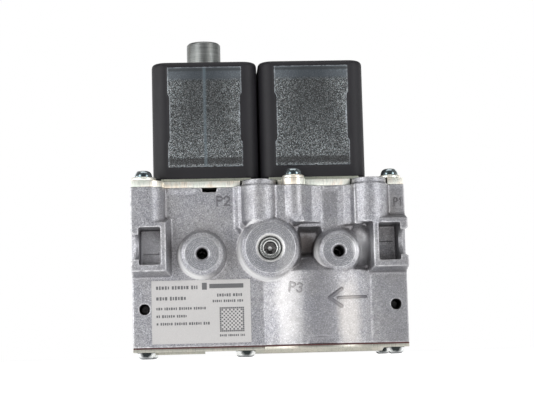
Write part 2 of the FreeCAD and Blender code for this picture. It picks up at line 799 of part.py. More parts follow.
def right_coil_plate():
    sheet = [box("right_plate_sheet", ("-3.3", "body_half - 0.3"),
                 ("-face_front + 0.1", "face_front - 0.1"), ("body_top", "plate_top")),
             plate_ear("right_plate_front_ear", "ear_place", -1),
             plate_ear("right_plate_back_ear", "ear_place", 1)]
    return cut("right_coil_plate", fuse("right_plate_form", sheet),
               plate_holes("right_plate", "right_axis", RIGHT_SCREWS))


# ---------------------------------------------------------------- coils

def yoke(name, axis):
    """The magnet frame: a base strip, two legs and a top strip round the winding."""
    def legs(sign):
        near, far = "yoke_half - yoke_sheet", "yoke_half"
        span = (f"{axis} - {far}", f"{axis} - ({near})") if sign < 0 else (
            f"{axis} + {near}", f"{axis} + {far}")
        return box(f"{name}_leg_{sign + 2}", span, ("-14", "14"), ("plate_top", "coil_top - 2.8"))
    across = (f"{axis} - yoke_half", f"{axis} + yoke_half")
    form = fuse(f"{name}_form", [
        box(f"{name}_base", across, ("-yoke_strip_half", "yoke_strip_half"),
            ("plate_top", "yoke_top")),
        box(f"{name}_top", across, ("-14", "14"), ("coil_top - 4.8", "coil_top - 2.8")),
        legs(-1),
        legs(1),
    ])
    bore = rod(f"{name}_bore", "Z", "tube_radius + 0.1", (axis, "0"), ("plate_top - 1", "coil_top"))
    return cut(name, form, [bore])


def coil_bobbin(name, axis):
    profile = [("7.75", "83.2"), ("17.9", "83.2"), ("17.9", "85"), ("9.2", "85"),
               ("9.2", "129"), ("17.9", "129"), ("17.9", "130.8"), ("7.75", "130.8")]
    return turned(name, profile, axis)


def coil_winding(name, axis):
    profile = [("9.25", "85.1"), ("17.2", "85.1"), ("17.2", "128.9"), ("9.25", "128.9")]
    return turned(name, profile, axis)


def coil_housing(name, axis):
    """The moulded coil case: rounded block, hollow for the magnet, socket at the back."""
    body = padded(name + "_block", rectangle(("-coil_half", "coil_half"),
                                             ("-coil_front", "coil_front")),
                  "yoke_top", "coil_top")
    rounded(body, name + "_corners", "coil_corner", upright)
    rounded(body, name + "_top_edges", "coil_edge",
            lambda edge: abs(edge.BoundBox.ZMin - number("coil_top")) < 1e-4
            and edge.BoundBox.ZLength < 1e-4)
    place(body, axis, "0", "0")
    panel = panel_relief(name, axis)
    shroud = box(name + "_shroud", (f"{axis} - socket_half", f"{axis} + socket_half"),
                 ("coil_front - 1", "socket_back"), ("socket_low", "socket_high"))
    hollow = box(name + "_hollow", (f"{axis} - yoke_half - 0.1", f"{axis} + yoke_half + 0.1"),
                 ("-19", "19"), ("yoke_top - 1", "coil_top - 2.7"))
    top_hole = rod(name + "_top_hole", "Z", "tube_radius + 0.1", (axis, "0"),
                   ("coil_top - 4", "coil_top + 1"))
    socket = box(name + "_socket", (f"{axis} - socket_half + 1.5", f"{axis} + socket_half - 1.5"),
                 ("coil_front + 0.5", "socket_back + 1"), ("socket_low + 1.5", "socket_high - 1.5"))
    slots = [blade(f"{name}_blade_slot_{index}", axis, shift, "0.5")
             for index, shift in enumerate((-5, 0, 5), start=1)]
    return cut(name, fuse(name + "_form", [body, shroud, panel]),
               [hollow, top_hole, socket] + slots)


def panel_relief(name, axis):
    """The raised panel on the front of a coil, narrower over its middle."""
    y = ("-coil_front - panel_relief", "-coil_front + 0.2")
    bands = (("lower", "panel_half", "panel_low", "98.5"),
             ("waist", "panel_half - 0.8", "98.4", "120.6"),
             ("upper", "panel_half", "120.5", "panel_high"))
    return fuse(name + "_panel", [
        box(f"{name}_panel_{label}", (f"{axis} - ({half})", f"{axis} + {half}"), y, (low, high))
        for label, half, low, high in bands])


def blade(name, axis, shift, half):
    """The room of one terminal blade through the back wall of a coil case."""
    return box(name, (f"{axis} + {shift} - {half}", f"{axis} + {shift} + {half}"),
               ("19.5", "coil_front + 6.5"), (f"94 - 4 * {half} - 0.5", f"94 + 4 * {half} + 0.5"))


def coil_terminals(name, axis):
    blades = [blade(f"{name}_{index}", axis, shift, "0.4")
              for index, shift in enumerate((-5, 0, 5), start=1)]
    return group(name, blades)


# ---------------------------------------------------------------- valve inserts

def armature_tube(name, axis):
    profile = [("tube_bore", "flange_seat + 1"), ("flange_seat_radius - 0.1", "flange_seat + 1"),
               ("flange_seat_radius - 0.1", "body_top"), ("tube_radius", "body_top"),
               ("tube_radius", "coil_top"), ("tube_bore", "coil_top")]
    return turned(name, profile, axis)


def tube_seal(name, axis):
    profile = [("12.3", "flange_seat"), ("14.1", "flange_seat"), ("14.1", "flange_seat + 1"),
               ("12.3", "flange_seat + 1")]
    return turned(name, profile, axis)


def fixed_core(name, axis, stud_top):
    """The fixed core that closes the tube, with a threaded stud above the coil."""
    profile = [("0", "core_bottom"), ("core_radius", "core_bottom"), ("core_radius", "coil_top"),
               ("stud_radius", "coil_top"), ("stud_radius", stud_top), ("0", stud_top)]
    return turned(name, profile, axis)


def armature(name, axis):
    profile = [("0", "48.5"), ("3.5", "48.5"), ("3.5", "plunger_bottom"),
               ("plunger_radius", "plunger_bottom + 1"), ("plunger_radius", "plunger_top - 0.5"),
               ("plunger_radius - 0.5", "plunger_top"), ("0", "plunger_top")]
    return turned(name, profile, axis)


def valve_disc(name, axis):
    profile = [("0", "46.5"), ("9.5", "46.5"), ("9.5", "48.5"), ("0", "48.5")]
    return turned(name, profile, axis)


def valve_seal(name, axis):
    profile = [("0", "seat_top"), ("8.6", "seat_top"), ("8.6", "46.5"), ("0", "46.5")]
    return turned(name, profile, axis)


def coil_spring(name, foot, length, radius, wire, turns, turn=None):
    """An open helical spring; its foot is the middle of the wire where the coil starts."""
    helix = DOC.addObject("Part::Helix", name + "_line")
    helix.Radius = radius
    helix.Height = length - 2 * wire
    helix.Pitch = helix.Height.Value / turns
    section = DOC.addObject("Part::Circle", name + "_wire")
    section.Radius = wire
    section.Placement = FreeCAD.Placement(Vector(radius, 0, 0),
                                          FreeCAD.Rotation(Vector(1, 0, 0), 90))
    sweep = DOC.addObject("Part::Sweep", name)
    sweep.Sections = [section]
    sweep.Spine = (helix, [])
    sweep.Solid = True
    sweep.Frenet = True
    place(sweep, *foot, turn)
    return sweep


def flow_adjuster():
    """The turned steel cap that screws down on the stud of the left core."""
    profile = [("stud_radius + 0.05", "coil_top + 0.2"), ("knob_radius - 0.3", "coil_top + 0.2"),
               ("knob_radius", "coil_top + 0.5"), ("knob_radius", "knob_top - 0.8"),
               ("knob_radius - 0.8", "knob_top"), ("0", "knob_top"), ("0", "knob_top - 5"),
               ("stud_radius + 0.05", "knob_top - 5")]
    body = turned("flow_adjuster_form", profile, "left_axis")
    slot = box("flow_adjuster_slot", ("left_axis - knob_radius - 1", "left_axis + knob_radius + 1"),
               ("-0.8", "0.8"), ("knob_top - 1.5", "knob_top + 1"))
    return cut("flow_adjuster", body, [slot])


def coil_nut():
    """The thin hexagonal nut that holds the right coil on its core."""
    prism = DOC.addObject("Part::Prism", "coil_nut_hexagon")
    prism.Polygon = 6
    prism.setExpression("Circumradius", "sizes.nut_corner")
    prism.setExpression("Height", "sizes.nut_height")
    place(prism, "right_axis", "0", "coil_top")
    hole = rod("coil_nut_hole", "Z", "stud_radius + 0.02", ("right_axis", "0"),
               ("coil_top - 1", "coil_top + 5"))
    return cut("right_coil_nut", prism, [hole])


def column_caps():
    """Steel discs pressed into the drillings of the two tall columns."""
    caps = [rod(f"column_cap_{label}", "Z", "4.98", (spot, "-face_front"),
                ("column_top - 2.5", "column_top - 0.3"))
            for label, spot in (("middle", "middle_column_place"), ("right", "right_column_place"))]
    return group("column_caps", caps)


# ---------------------------------------------------------------- regulator

def regulator_valve():
    """The regulator's disc on its stem, which closes the right seat from below."""
    profile = [("0", "10"), ("stem_radius", "10"), ("stem_radius", "32.5"), ("8.2", "34"),
               ("8.2", "seat_underside"), ("0", "seat_underside")]
    return turned("regulator_valve", profile, "right_axis")


def backing_disc(name, low, high):
    profile = [("stem_radius + 0.05", low), ("disc_radius", low), ("disc_radius", high),
               ("stem_radius + 0.05", high)]
    return turned(name, profile, "right_axis")


def regulator_diaphragm():
    """A moulded diaphragm: clamped rim, sloping web and flat middle."""
    foot = "body_bottom + 0.05"
    crown = "diaphragm_height + diaphragm_sheet"
    profile = [("stem_radius + 0.05", "diaphragm_height"), ("web_radius", "diaphragm_height"),
               ("web_radius + 7.4", foot), ("diaphragm_rim - 0.1", foot),
               ("diaphragm_rim - 0.1", "body_bottom + 1.4"), ("web_radius + 7.8", "body_bottom + 1.4"),
               ("web_radius + 0.4", crown), ("stem_radius + 0.05", crown)]
    return turned("regulator_diaphragm", profile, "right_axis")


def adjuster_turn():
    """Rotation that lays a turned part's own axis along +Y."""
    return FreeCAD.Rotation(Vector(1, 0, 0), -90)


def regulator_adjuster():
    """The threaded plug in the middle boss, with a hexagon socket in its face."""
    profile = [("0", "-36.1"), ("4.3", "-36.1"), ("4.95", "-35.4"), ("4.95", "-28"), ("0", "-28")]
    plug = turned("adjuster_plug_form", profile, "0", "0", "adjuster_height", adjuster_turn())
    socket = DOC.addObject("Part::Prism", "adjuster_socket")
    socket.Polygon = 6
    socket.Circumradius = 2.5
    socket.Height = 5
    place(socket, "0", "-37", "adjuster_height", adjuster_turn())
    return cut("regulator_adjuster", plug, [socket])


def spring_button():
    profile = [("0", "-28"), ("4.9", "-28"), ("4.9", "-26.5"), ("2", "-26.5"), ("2", "-24.5"),
               ("0", "-24.5")]
    return turned("adjuster_spring_button", profile, "0", "0", "adjuster_height", adjuster_turn())


# ---------------------------------------------------------------- label

def rating_label():
    return box("rating_label", ("label_left", "label_right"),
               ("-face_front - label_sheet", "-face_front"), ("label_low", "label_high"))


# ---------------------------------------------------------------- assembly

def coil_set(side, axis, stud_top):
    """The pieces of one solenoid and the valve that it lifts."""
    return {
        f"{side}_armature_tube": armature_tube(f"{side}_armature_tube", axis),
        f"{side}_tube_seal": tube_seal(f"{side}_tube_seal", axis),
        f"{side}_fixed_core": fixed_core(f"{side}_fixed_core", axis, stud_top),
        f"{side}_yoke": yoke(f"{side}_yoke", axis),
        f"{side}_coil_bobbin": coil_bobbin(f"{side}_coil_bobbin", axis),
        f"{side}_coil_winding": coil_winding(f"{side}_coil_winding", axis),
        f"{side}_coil_housing": coil_housing(f"{side}_coil_housing", axis),
        f"{side}_coil_terminals": coil_terminals(f"{side}_coil_terminals", axis),
        f"{side}_armature": armature(f"{side}_armature", axis),
        f"{side}_valve_disc": valve_disc(f"{side}_valve_disc", axis),
        f"{side}_valve_seal": valve_seal(f"{side}_valve_seal", axis),
        f"{side}_valve_spring": coil_spring(f"{side}_valve_spring", (axis, "0", "49.05"),
                                            25.9, 8.4, 0.5, 6),
    }


def assembly():
    """Every sub-part of the valve, by the name of its node."""
    nodes = {
        "valve_body": valve_body(),
        "inlet_seal": port_seal("inlet_seal", 1),
        "outlet_seal": port_seal("outlet_seal", -1),
        "inlet_strainer": inlet_strainer(),
        "bottom_gasket": bottom_gasket(),
        "bottom_cover": bottom_cover(),
        "bottom_cover_screws": bottom_cover_screws(),
        "left_coil_plate": left_coil_plate(),
        "right_coil_plate": right_coil_plate(),
        "left_plate_screws": plate_screws("left_plate_screws", LEFT_SCREWS, (20, 75, 130)),
        "right_plate_screws": plate_screws("right_plate_screws", RIGHT_SCREWS, (5, 60, 35, 110)),
        "left_plate_washers": plate_washers("left_plate_washers", LEFT_SCREWS,
                                            ("corner_washer_radius",) * 2 + ("washer_radius",)),
        "right_plate_washers": plate_washers("right_plate_washers", RIGHT_SCREWS,
                                             ("washer_radius",) * 4),
        "column_caps": column_caps(),
        "flow_adjuster": flow_adjuster(),
        "right_coil_nut": coil_nut(),
        "regulator_valve": regulator_valve(),
        "regulator_lower_disc": backing_disc("regulator_lower_disc", "11", "diaphragm_height"),
        "regulator_upper_disc": backing_disc("regulator_upper_disc",
                                             "diaphragm_height + diaphragm_sheet",
                                             "diaphragm_height + diaphragm_sheet + 1"),
        "regulator_diaphragm": regulator_diaphragm(),
        "regulator_spring": coil_spring("regulator_spring", ("right_axis", "0", "3.65"),
                                        7.9, 12, 0.6, 3),
        "regulator_adjuster": regulator_adjuster(),
        "adjuster_spring_button": spring_button(),
        "adjuster_spring": coil_spring("adjuster_spring", ("0", "-26", "adjuster_height"),
                                       12.3, 3.4, 0.4, 5, adjuster_turn()),
        "rating_label": rating_label(),
    }
    nodes.update(coil_set("left", "left_axis", "coil_top + 8"))
    nodes.update(coil_set("right", "right_axis", "coil_top + 2.3"))
    return nodes


def check_and_write(nodes):
    """Stop on any failed object, then write each sub-part to a STEP file of its own."""
    DOC.recompute()
    for thing in DOC.Objects:
        if "Invalid" in thing.State or "Error" in thing.State:
            raise RuntimeError(f"{thing.Name} failed: {thing.State}")
    os.makedirs("parts", exist_ok=True)
    for name, thing in nodes.items():
        thing.Label = name
        shape = thing.Shape
        if shape.isNull() or not shape.isValid():
            raise RuntimeError(f"{name} has no valid shape")
        shape.exportStep(os.path.join("parts", name + ".step"))


fill_sheet()
NODES = assembly()
DOC.removeObject("probe")
check_and_write(NODES)
print(f"{len(NODES)} sub-parts written")
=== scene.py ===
"""Looks of the gas valve: a die-cast body with two moulded coils, zinc-plated plates and screws.

Lengths are in millimetres and angles in degrees, unless a comment says otherwise. Colours are
linear red, green and blue.
"""
import json
import math

import bmesh
import bpy
import numpy as np
from mathutils import Matrix, Vector

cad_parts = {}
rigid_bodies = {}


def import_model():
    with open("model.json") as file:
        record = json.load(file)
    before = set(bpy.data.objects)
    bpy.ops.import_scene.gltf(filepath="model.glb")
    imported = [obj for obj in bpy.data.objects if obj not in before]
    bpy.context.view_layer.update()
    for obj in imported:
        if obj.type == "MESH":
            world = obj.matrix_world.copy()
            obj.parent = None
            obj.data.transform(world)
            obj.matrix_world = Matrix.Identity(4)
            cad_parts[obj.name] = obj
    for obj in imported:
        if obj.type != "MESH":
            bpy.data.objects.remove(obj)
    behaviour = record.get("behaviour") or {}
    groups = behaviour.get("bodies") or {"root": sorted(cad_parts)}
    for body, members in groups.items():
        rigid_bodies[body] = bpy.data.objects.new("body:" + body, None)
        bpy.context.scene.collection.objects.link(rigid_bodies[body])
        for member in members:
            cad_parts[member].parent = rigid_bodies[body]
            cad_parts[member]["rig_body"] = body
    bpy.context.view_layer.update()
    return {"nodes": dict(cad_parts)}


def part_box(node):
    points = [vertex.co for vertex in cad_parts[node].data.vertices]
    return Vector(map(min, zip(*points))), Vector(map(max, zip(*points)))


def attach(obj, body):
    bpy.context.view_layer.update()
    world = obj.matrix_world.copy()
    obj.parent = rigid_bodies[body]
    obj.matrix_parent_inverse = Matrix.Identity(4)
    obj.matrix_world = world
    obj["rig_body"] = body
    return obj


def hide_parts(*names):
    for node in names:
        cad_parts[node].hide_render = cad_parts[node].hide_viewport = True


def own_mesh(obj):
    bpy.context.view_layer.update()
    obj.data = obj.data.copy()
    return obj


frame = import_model()

MM = 0.001
WELD_GAP = 0.001
SIDES = ("left", "right")
WHITE = (1, 1, 1, 1)

# Camera: direction, roll, distance, the point it looks at, lens and sensor; clipping in metres
VIEW_AZIMUTH = -2.632
VIEW_ELEVATION = -6.426
VIEW_ROLL = 1.429
VIEW_DISTANCE = 624.5
VIEW_TARGET = (-0.59, -28.0, 70.787)
VIEW_LENS = 92.63
SENSOR_WIDTH = 36.0
CLIP_NEAR = 0.01
CLIP_FAR = 50.0

# Soft lights: name, place, width and height, and power in watts
LIGHTS = (("left_light", (-430, -430, 150), (260, 560), 2.0),
          ("right_light", (450, -420, 190), (220, 480), 1.4),
          ("left_side_light", (-600, -60, 60), (420, 420), 1.5),
          ("right_side_light", (620, 90, 30), (420, 420), 0.7),
          ("top_light", (0, -60, 620), (500, 420), 0.9),
          ("back_left_light", (-420, 480, 260), (300, 420), 0.5),
          ("back_right_light", (420, 480, 260), (300, 420), 0.5))
LIGHT_TARGET = (0, 0, 70)
SURROUND_STRENGTH = 0.21
FLOOR_REACH = 6000.0
FLOOR_TONE = (0.60, 0.60, 0.60)
FLOOR_GLOW = 0.86

# Voxel size, rounds of smoothing and number of faces of the cast and of the moulded forms, and
# how far the stored edges spread
CASTING_FORM = (0.4, 7, 190000)
COIL_FORM = (0.5, 4, 60000)
EDGE_SPREAD = 2

# Depth of the casting's flat front, and the turned boss faces on it: across, up and radius
FLAT_FRONT = -28.0
BOSS_FACES = ((-30.5, 46.4, 8.1), (30.8, 46.4, 7.6), (0.0, 48.4, 11.6))
ADJUSTER_BOSS = BOSS_FACES[2]

# Rounded shoulders of the bosses: reach at the root, height, start off the boss's own wall,
# overlap with the casting, and fullness of the curve (one is round)
SHOULDER_WIDTH = 2.7
SHOULDER_HEIGHT = 8.2
SHOULDER_START = 0.1
SHOULDER_OVERLAP = 1.0
SHOULDER_FULLNESS = 0.8
SHOULDER_STEPS = 12

# Sloping strips beside two columns: foot and crest across, rise, foot and top up, lean at the foot
COLUMN_DRAFTS = ((-15.8, -13.4, 2.2, 58.4, 77.4, 2.6), (-47.6, -49.2, 1.4, 63.5, 77.4, 0.0))
DRAFT_DEPTH = 2.2
DRAFT_TOE = 0.05
DRAFT_ROOT = 1.0
DRAFT_TAPER = 1.5

# Rounded bottom of the valley beside the right boss: middle and half size across and up, the
# depths of its rim, its lowest point and its buried back, and the sweep of its curve
VALLEY_MIDDLE = (18.6, 51.2)
VALLEY_HALF = (6.9, 8.8)
VALLEY_RIM = -27.6
VALLEY_FLOOR = -22.9
VALLEY_BACK = -21.0
VALLEY_SIDES = 64
VALLEY_LEVELS = 8
VALLEY_SWEEP = 88
VALLEY_TIP = 0.02

# Tall columns that carry a thin collar: across, depth and radius; then the height of its ledge,
# how far it is set back, how far past the column that reaches, and the bore that stays as it is
TALL_COLUMNS = ((-4.1, -28.0, 8.5), (46.0, -28.0, 8.5))
COLLAR_HEIGHT = 77.15
COLLAR_SETBACK = 0.32
COLLAR_MARGIN = 0.6
COLLAR_BORE = 4.0

# Painted highlight round the mouth of the adjuster's bore: inner and outer radius
MOUTH_RADII = (5.1, 6.5)

# Marks cast into the front: text, middle across and up, height, lean, width against the plain
# letters and width of the bead; then a letter's width and the step to the next one, as shares of
# the height, and how far the bead rises
PORT_MARKS = (("P2", -20.6, 70.7, 4.1, 0.0, 1.0, 0.9), ("P3", 10.9, 30.6, 3.9, -9.0, 1.0, 0.9),
              ("P1", 59.35, 68.9, 3.5, 0.0, 0.76, 0.55))
LETTER_WIDTH = 0.58
LETTER_STEP = 0.84
LETTER_RISE = 0.42

# Flow arrow and the seams in the pockets, as points across and up, the gap between the arrow's tip
# and its shaft, and the width and rise of each bead
ARROW_TIP = (25.8, 25.4)
ARROW_TAIL = (42.9, 25.9)
ARROW_WINGS = ((31.4, 29.4), (31.2, 21.7))
ARROW_GAP = 4.0
SHAFT_BEAD = (1.5, 0.5)
HEAD_BEAD = (1.9, 0.6)
SEAMS = (("left", (-57.2, 47.7), (-50.2, 47.9)), ("right", (50.6, 51.5), (57.2, 51.5)))
SEAM_BEAD = (0.5, 0.25)

# Beads of the marks: faces across, how deep their feet lie in the skin, where the search for the
# skin starts, and the stored edge value at a bead's foot, which paints a highlight there, and on
# its crown, which paints shade there
BEAD_SIDES = 8
BEAD_SINK = 0.04
SEARCH_FRONT = -80.0
BEAD_FOOT_HIGHLIGHT = 0.95
BEAD_CROWN_SHADE = 0.02

# Raised front panels of the coils: half width, how far the waist sets in, foot and top, heights
# where the waist begins and ends, how sharply, and how far the panel's skin stands off the coil
PANEL_HALF = 17.0
PANEL_WAIST = 0.8
PANEL_FOOT = 86.9
PANEL_TOP = 133.3
PANEL_COLUMNS = 72
PANEL_ROWS = 100
WAIST_ENDS = (98.8, 120.2)
WAIST_SHARPNESS = 4
PANEL_STANDOFF = 0.38
PANEL_THICKNESS = 0.6

# Relief of the panels: height and width of the bevelled rim, width of the bright flash on it, roll
# at top and foot (length and curve), the sunk band (below the top) and the seam
RIM_RISE = 0.35
RIM_BEVEL = 0.5
RIM_FLASH = 0.45
ROLL_DROP = 0.33
TOP_ROLL = (6.0, 1.6)
FOOT_ROLL = (4.5, 1.4)
SUNK_BAND = (5.4, 1.2)
BAND_DEPTH = 0.12
SEAM_HALF = 0.55
SEAM_RISE = 0.14

# Rows of the label's print: start and end across, level up as shares of the label, and height
LABEL_ROWS = ((0.047, 0.465, 0.885, 1.75), (0.047, 0.371, 0.715, 1.75),
              (0.047, 0.563, 0.555, 1.35), (0.047, 0.351, 0.435, 1.35),
              (0.047, 0.583, 0.315, 1.35), (0.662, 0.914, 0.755, 1.5),
              (0.616, 0.934, 0.662, 1.25), (0.682, 0.934, 0.118, 1.1))
# Plain bars of the label and the corner, side, cells and fill of its lattice, as shares
LABEL_BARS = ((0.510, 0.560, 0.845, 0.955), (0.585, 0.930, 0.865, 0.935))
LATTICE_CORNER = (0.684, 0.175)
LATTICE_SIDE = 0.250
LATTICE_CELLS = 13
LATTICE_FILL = 0.86
PRINT_STANDOFF = 0.02
PRINT_DEPTH = 0.03

# Blocks of a printed row, as shares of the row's height: least width and spread, least half
# height and spread, gap between blocks and between groups, blocks in a group
BLOCK_WIDTH = (0.34, 0.3)
BLOCK_HALF = (0.36, 0.14)
BLOCK_GAP = 0.24
GROUP_GAP = 0.45
GROUP_SIZE = 6

# Pan-head screws: radius of tip and shank, length of the tip, the head's foot as a share of its
# radius, start and sweep of its curve, fullness across and up, and the slot's half size, depth,
# first turn and step from screw to screw
TIP_RADIUS = 1.2
SHANK_RADIUS = 1.95
TIP_LENGTH = 0.8
HEAD_FOOT = 0.95
HEAD_CURVE = (6, 82)
HEAD_STEPS = 12
HEAD_FULLNESS = (0.42, 1.2)
SLOT_HALF = (6, 0.55)
SLOT_DEPTH = 1.1
SLOT_TURN = -14.0
SLOT_STEP = 9.0

# Washers: radius of the bore, the bevel at its top, and the rolled edges at foot and top, as
# steps in from the rim and from the face
WASHER_BORE = 2.3
BORE_EDGE = 0.3
WASHER_FOOT = ((0.35, 0.0), (0.08, 0.15), (0.0, 0.45))
WASHER_TOP = ((0.0, 0.5), (0.12, 0.18), (0.5, 0.0))

# Adjusting plug: its rim as steps in from the radius and the face, then its socket as radius,
# depth and number of sides
PLUG_RIM = ((0.0, 0.5), (0.15, 0.12), (0.45, 0.0), (0.75, 0.10), (0.95, 0.42), (1.15, 0.12),
            (1.35, 0.05))
PLUG_SOCKET = ((3.15, 0.05, 0), (2.95, 0.25, 0), (2.5, 0.75, 6), (2.5, 4.0, 6), (0.4, 4.9, 0))

# Bands painted on the adjusting plug: inner radius, outer radius, share and colour. From the middle
# out: a painted highlight at the bottom of the socket, painted shade on its walls, a painted
# highlight on its chamfer, a darker and a lighter ring of the face, and painted shade on the rim.
PLUG_TONE_AND_LIGHT_BANDS = ((-1.0, 0.85, 0.85, (0.80, 0.80, 0.80)), (0.95, 2.85, 0.85, (0.05, 0.045, 0.045)),
              (2.95, 3.35, 0.85, (0.75, 0.76, 0.75)), (3.45, 3.75, 0.75, (0.10, 0.10, 0.10)),
              (4.05, 4.45, 0.60, (0.62, 0.63, 0.62)), (4.70, 5.20, 0.85, (0.04, 0.04, 0.04)))

# Screws of a CAD node: node, material, height of the head and whether the head is on top
SCREWS = (("left_plate_screws", "bright_zinc", 3.2, True),
          ("right_plate_screws", "bright_zinc", 3.2, True),
          ("bottom_cover_screws", "shaded_zinc", 3.1, False))

# Pressed and turned pieces with broken edges: node, piece, material, edge width and slot; the
# second table is for both coils
SINGLE_PRESSED = (("bottom_cover", "pressed_bottom_cover", "pale_zinc", 0.35, "yellow_zinc"),
                  ("flow_adjuster", "flow_adjuster_cap", "turned_steel", 0.5, "turned_steel"),
                  ("right_coil_nut", "coil_nut", "bright_zinc", 0.35, "zinc_steel"))
PAIRED_PRESSED = (("coil_plate", "pressed_plate", "yellow_zinc", 0.4, "yellow_zinc"),
                  ("yoke", "yoke_frame", "phosphated_steel", 0.3, "yoke_steel"))

# Springs, which are left at their full length: node, joint, travel, direction and whether the far
# end stays put
SPRINGS = (("left_valve_spring", "left_valve_lift", 3.2, "Z", True),
           ("right_valve_spring", "right_valve_lift", 3.2, "Z", True),
           ("regulator_spring", "regulator_travel", 3.0, "Z", False),
           ("adjuster_spring", "adjuster_advance", 2.75, "Y", True))

# CAD nodes that keep their own form, with their materials; the second table is for both sides
CARRIED = {"inlet_seal": "seal_rubber", "outlet_seal": "seal_rubber",
           "inlet_strainer": "plain_steel", "regulator_valve": "plain_steel",
           "regulator_lower_disc": "plain_steel", "regulator_upper_disc": "plain_steel",
           "regulator_diaphragm": "seal_rubber", "adjuster_spring_button": "plain_steel",
           "rating_label": "label_film", "column_caps": "plain_steel",
           "bottom_gasket": "gasket_fibre"}
PAIRED_CARRIED = {"armature_tube": "plain_steel", "tube_seal": "seal_rubber",
                  "fixed_core": "plain_steel", "coil_bobbin": "bobbin_plastic",
                  "coil_winding": "copper_wire", "coil_terminals": "terminal_tin",
                  "armature": "plain_steel", "valve_disc": "plain_steel",
                  "valve_seal": "seal_rubber"}

# Tones of the die-cast skin
CAST_DARK = (0.20, 0.20, 0.22)
CAST_LIGHT = (0.535, 0.54, 0.575)
CAST_WARM = (0.44, 0.425, 0.41)
CAST_STAIN = (0.21, 0.21, 0.235)
CAST_SPARK = (0.80, 0.80, 0.84)
CAST_SPECK = (0.12, 0.12, 0.13)
TURNED_GROOVE = (0.23, 0.24, 0.26)
# Painted highlight along the rim of each turned boss face
RIM_HIGHLIGHT = (0.80, 0.80, 0.80)
# Painted highlight along the edges
EDGE_HIGHLIGHT = (0.92, 0.92, 0.93)
LIT_FLANK = (0.92, 0.92, 0.92)
# Painted highlight round the mouth of the adjuster's bore
BORE_HIGHLIGHT = (0.90, 0.90, 0.88)
# Painted shade in the concave corners
CORNER_SHADE_GREY = (0.22, 0.21, 0.22)
CORNER_SHADE_DARK = (0.10, 0.10, 0.11)
# Painted shade, with some dirt, in the recesses
RECESS_SHADE_AND_DIRT = (0.19, 0.17, 0.16)
# Painted shade deep in holes
HOLE_SHADE = (0.008, 0.008, 0.008)

# Patches painted on the front of the casting: middle across and up, reach across and up, share and
# colour. The first ones lie under the painted shade and dirt of the recesses: a painted dark
# reflection down the middle of the bulge, painted highlights either side of it, darker patches on
# the right flange and higher up the front, and painted shade in the valley beside the right boss.
# The last ones lie over it: painted light in the hollow right of the right boss and in the left
# pocket.
SHADE_TONE_AND_HIGHLIGHT_PATCHES = ((22.5, 20.0, 9.5, 34.0, 0.42, (0.17, 0.17, 0.19)),
                (8.0, 24.0, 6.5, 26.0, 0.32, (0.88, 0.86, 0.84)),
                (34.8, 17.0, 6.0, 22.0, 0.35, (0.76, 0.71, 0.65)),
                (59.0, 24.0, 13.0, 34.0, 0.45, (0.19, 0.19, 0.20)),
                (59.5, 66.0, 7.0, 14.0, 0.40, (0.19, 0.19, 0.20)),
                (27.5, 70.0, 5.0, 12.0, 0.40, (0.19, 0.19, 0.20)),
                (-10.2, 68.0, 3.2, 14.0, 0.35, (0.24, 0.24, 0.25)),
                (17.0, 50.5, 5.5, 6.5, 0.80, (0.07, 0.055, 0.05)))
PAINTED_HIGHLIGHT_PATCHES = ((42.0, 48.0, 6.0, 8.5, 0.75, (0.92, 0.92, 0.94)),
                    (-55.0, 49.0, 6.0, 9.0, 0.40, (0.74, 0.74, 0.77)))

# Plated and bare metals: three tones that drift into each other, roughness, grain, metallic share
METALS = {
    "yellow_zinc": ((0.86, 0.93, 0.84), (0.99, 0.98, 0.90), (0.96, 0.82, 0.66), 0.30, 1.6, 0.75),
    "pale_zinc": ((0.40, 0.40, 0.36), (0.48, 0.47, 0.41), (0.54, 0.50, 0.44), 0.30, 1.6, 1.0),
    "phosphated_steel": ((0.42, 0.44, 0.38), (0.50, 0.52, 0.44), (0.56, 0.55, 0.46), 0.34, 1.8, 1.0),
    "plain_steel": ((0.50, 0.51, 0.52), (0.60, 0.61, 0.62), (0.66, 0.66, 0.66), 0.24, 2.0, 1.0),
    "spring_steel": ((0.36, 0.37, 0.39), (0.46, 0.47, 0.49), (0.52, 0.52, 0.52), 0.22, 3.0, 1.0),
    "copper_wire": ((0.72, 0.36, 0.20), (0.80, 0.42, 0.25), (0.84, 0.50, 0.32), 0.25, 3.0, 1.0),
    "terminal_tin": ((0.62, 0.62, 0.60), (0.72, 0.72, 0.70), (0.76, 0.75, 0.72), 0.25, 2.0, 1.0),
}
# Zinc of the screws: tone of the painted dark reflection in the middle, tone of the painted sheen
# at the edge and the slant at which that is full
SCREW_ZINCS = {"bright_zinc": ((0.15, 0.20, 0.22), (0.78, 0.84, 0.85), 0.75),
               "shaded_zinc": ((0.03, 0.035, 0.035), (0.90, 0.92, 0.92), 0.5)}
# Plastics and rubbers: colour, roughness, grain and depth of the grain
PLASTICS = {"coil_plastic": ((0.0105, 0.0098, 0.0125), 0.55, 2.0, 0.05),
            "gasket_fibre": ((0.09, 0.035, 0.035), 0.7, 1.2, 0.08),
            "seal_rubber": ((0.022, 0.022, 0.024), 0.6, 1.5, 0.06),
            "bobbin_plastic": ((0.10, 0.10, 0.11), 0.5, 2.0, 0.05)}
# Label film and its ink: colour and roughness
LABEL_PARTS = {"label_film": ((0.53, 0.52, 0.515), 0.35), "label_ink": ((0.12, 0.12, 0.125), 0.5)}


# ---------------------------------------------------------------- meshes

def corners(node):
    """Lowest and highest corner of a CAD node."""
    low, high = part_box(node)
    return low / MM, high / MM


def middle(node):
    """Centre of a CAD node's box."""
    low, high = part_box(node)
    return (low + high) / 2 / MM


def body_of(node):
    """The body that a CAD node belongs to."""
    return frame["nodes"][node]["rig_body"]


def placed(name, data):
    """A new object in the scene."""
    made = bpy.data.objects.new(name, data)
    bpy.context.scene.collection.objects.link(made)
    return made


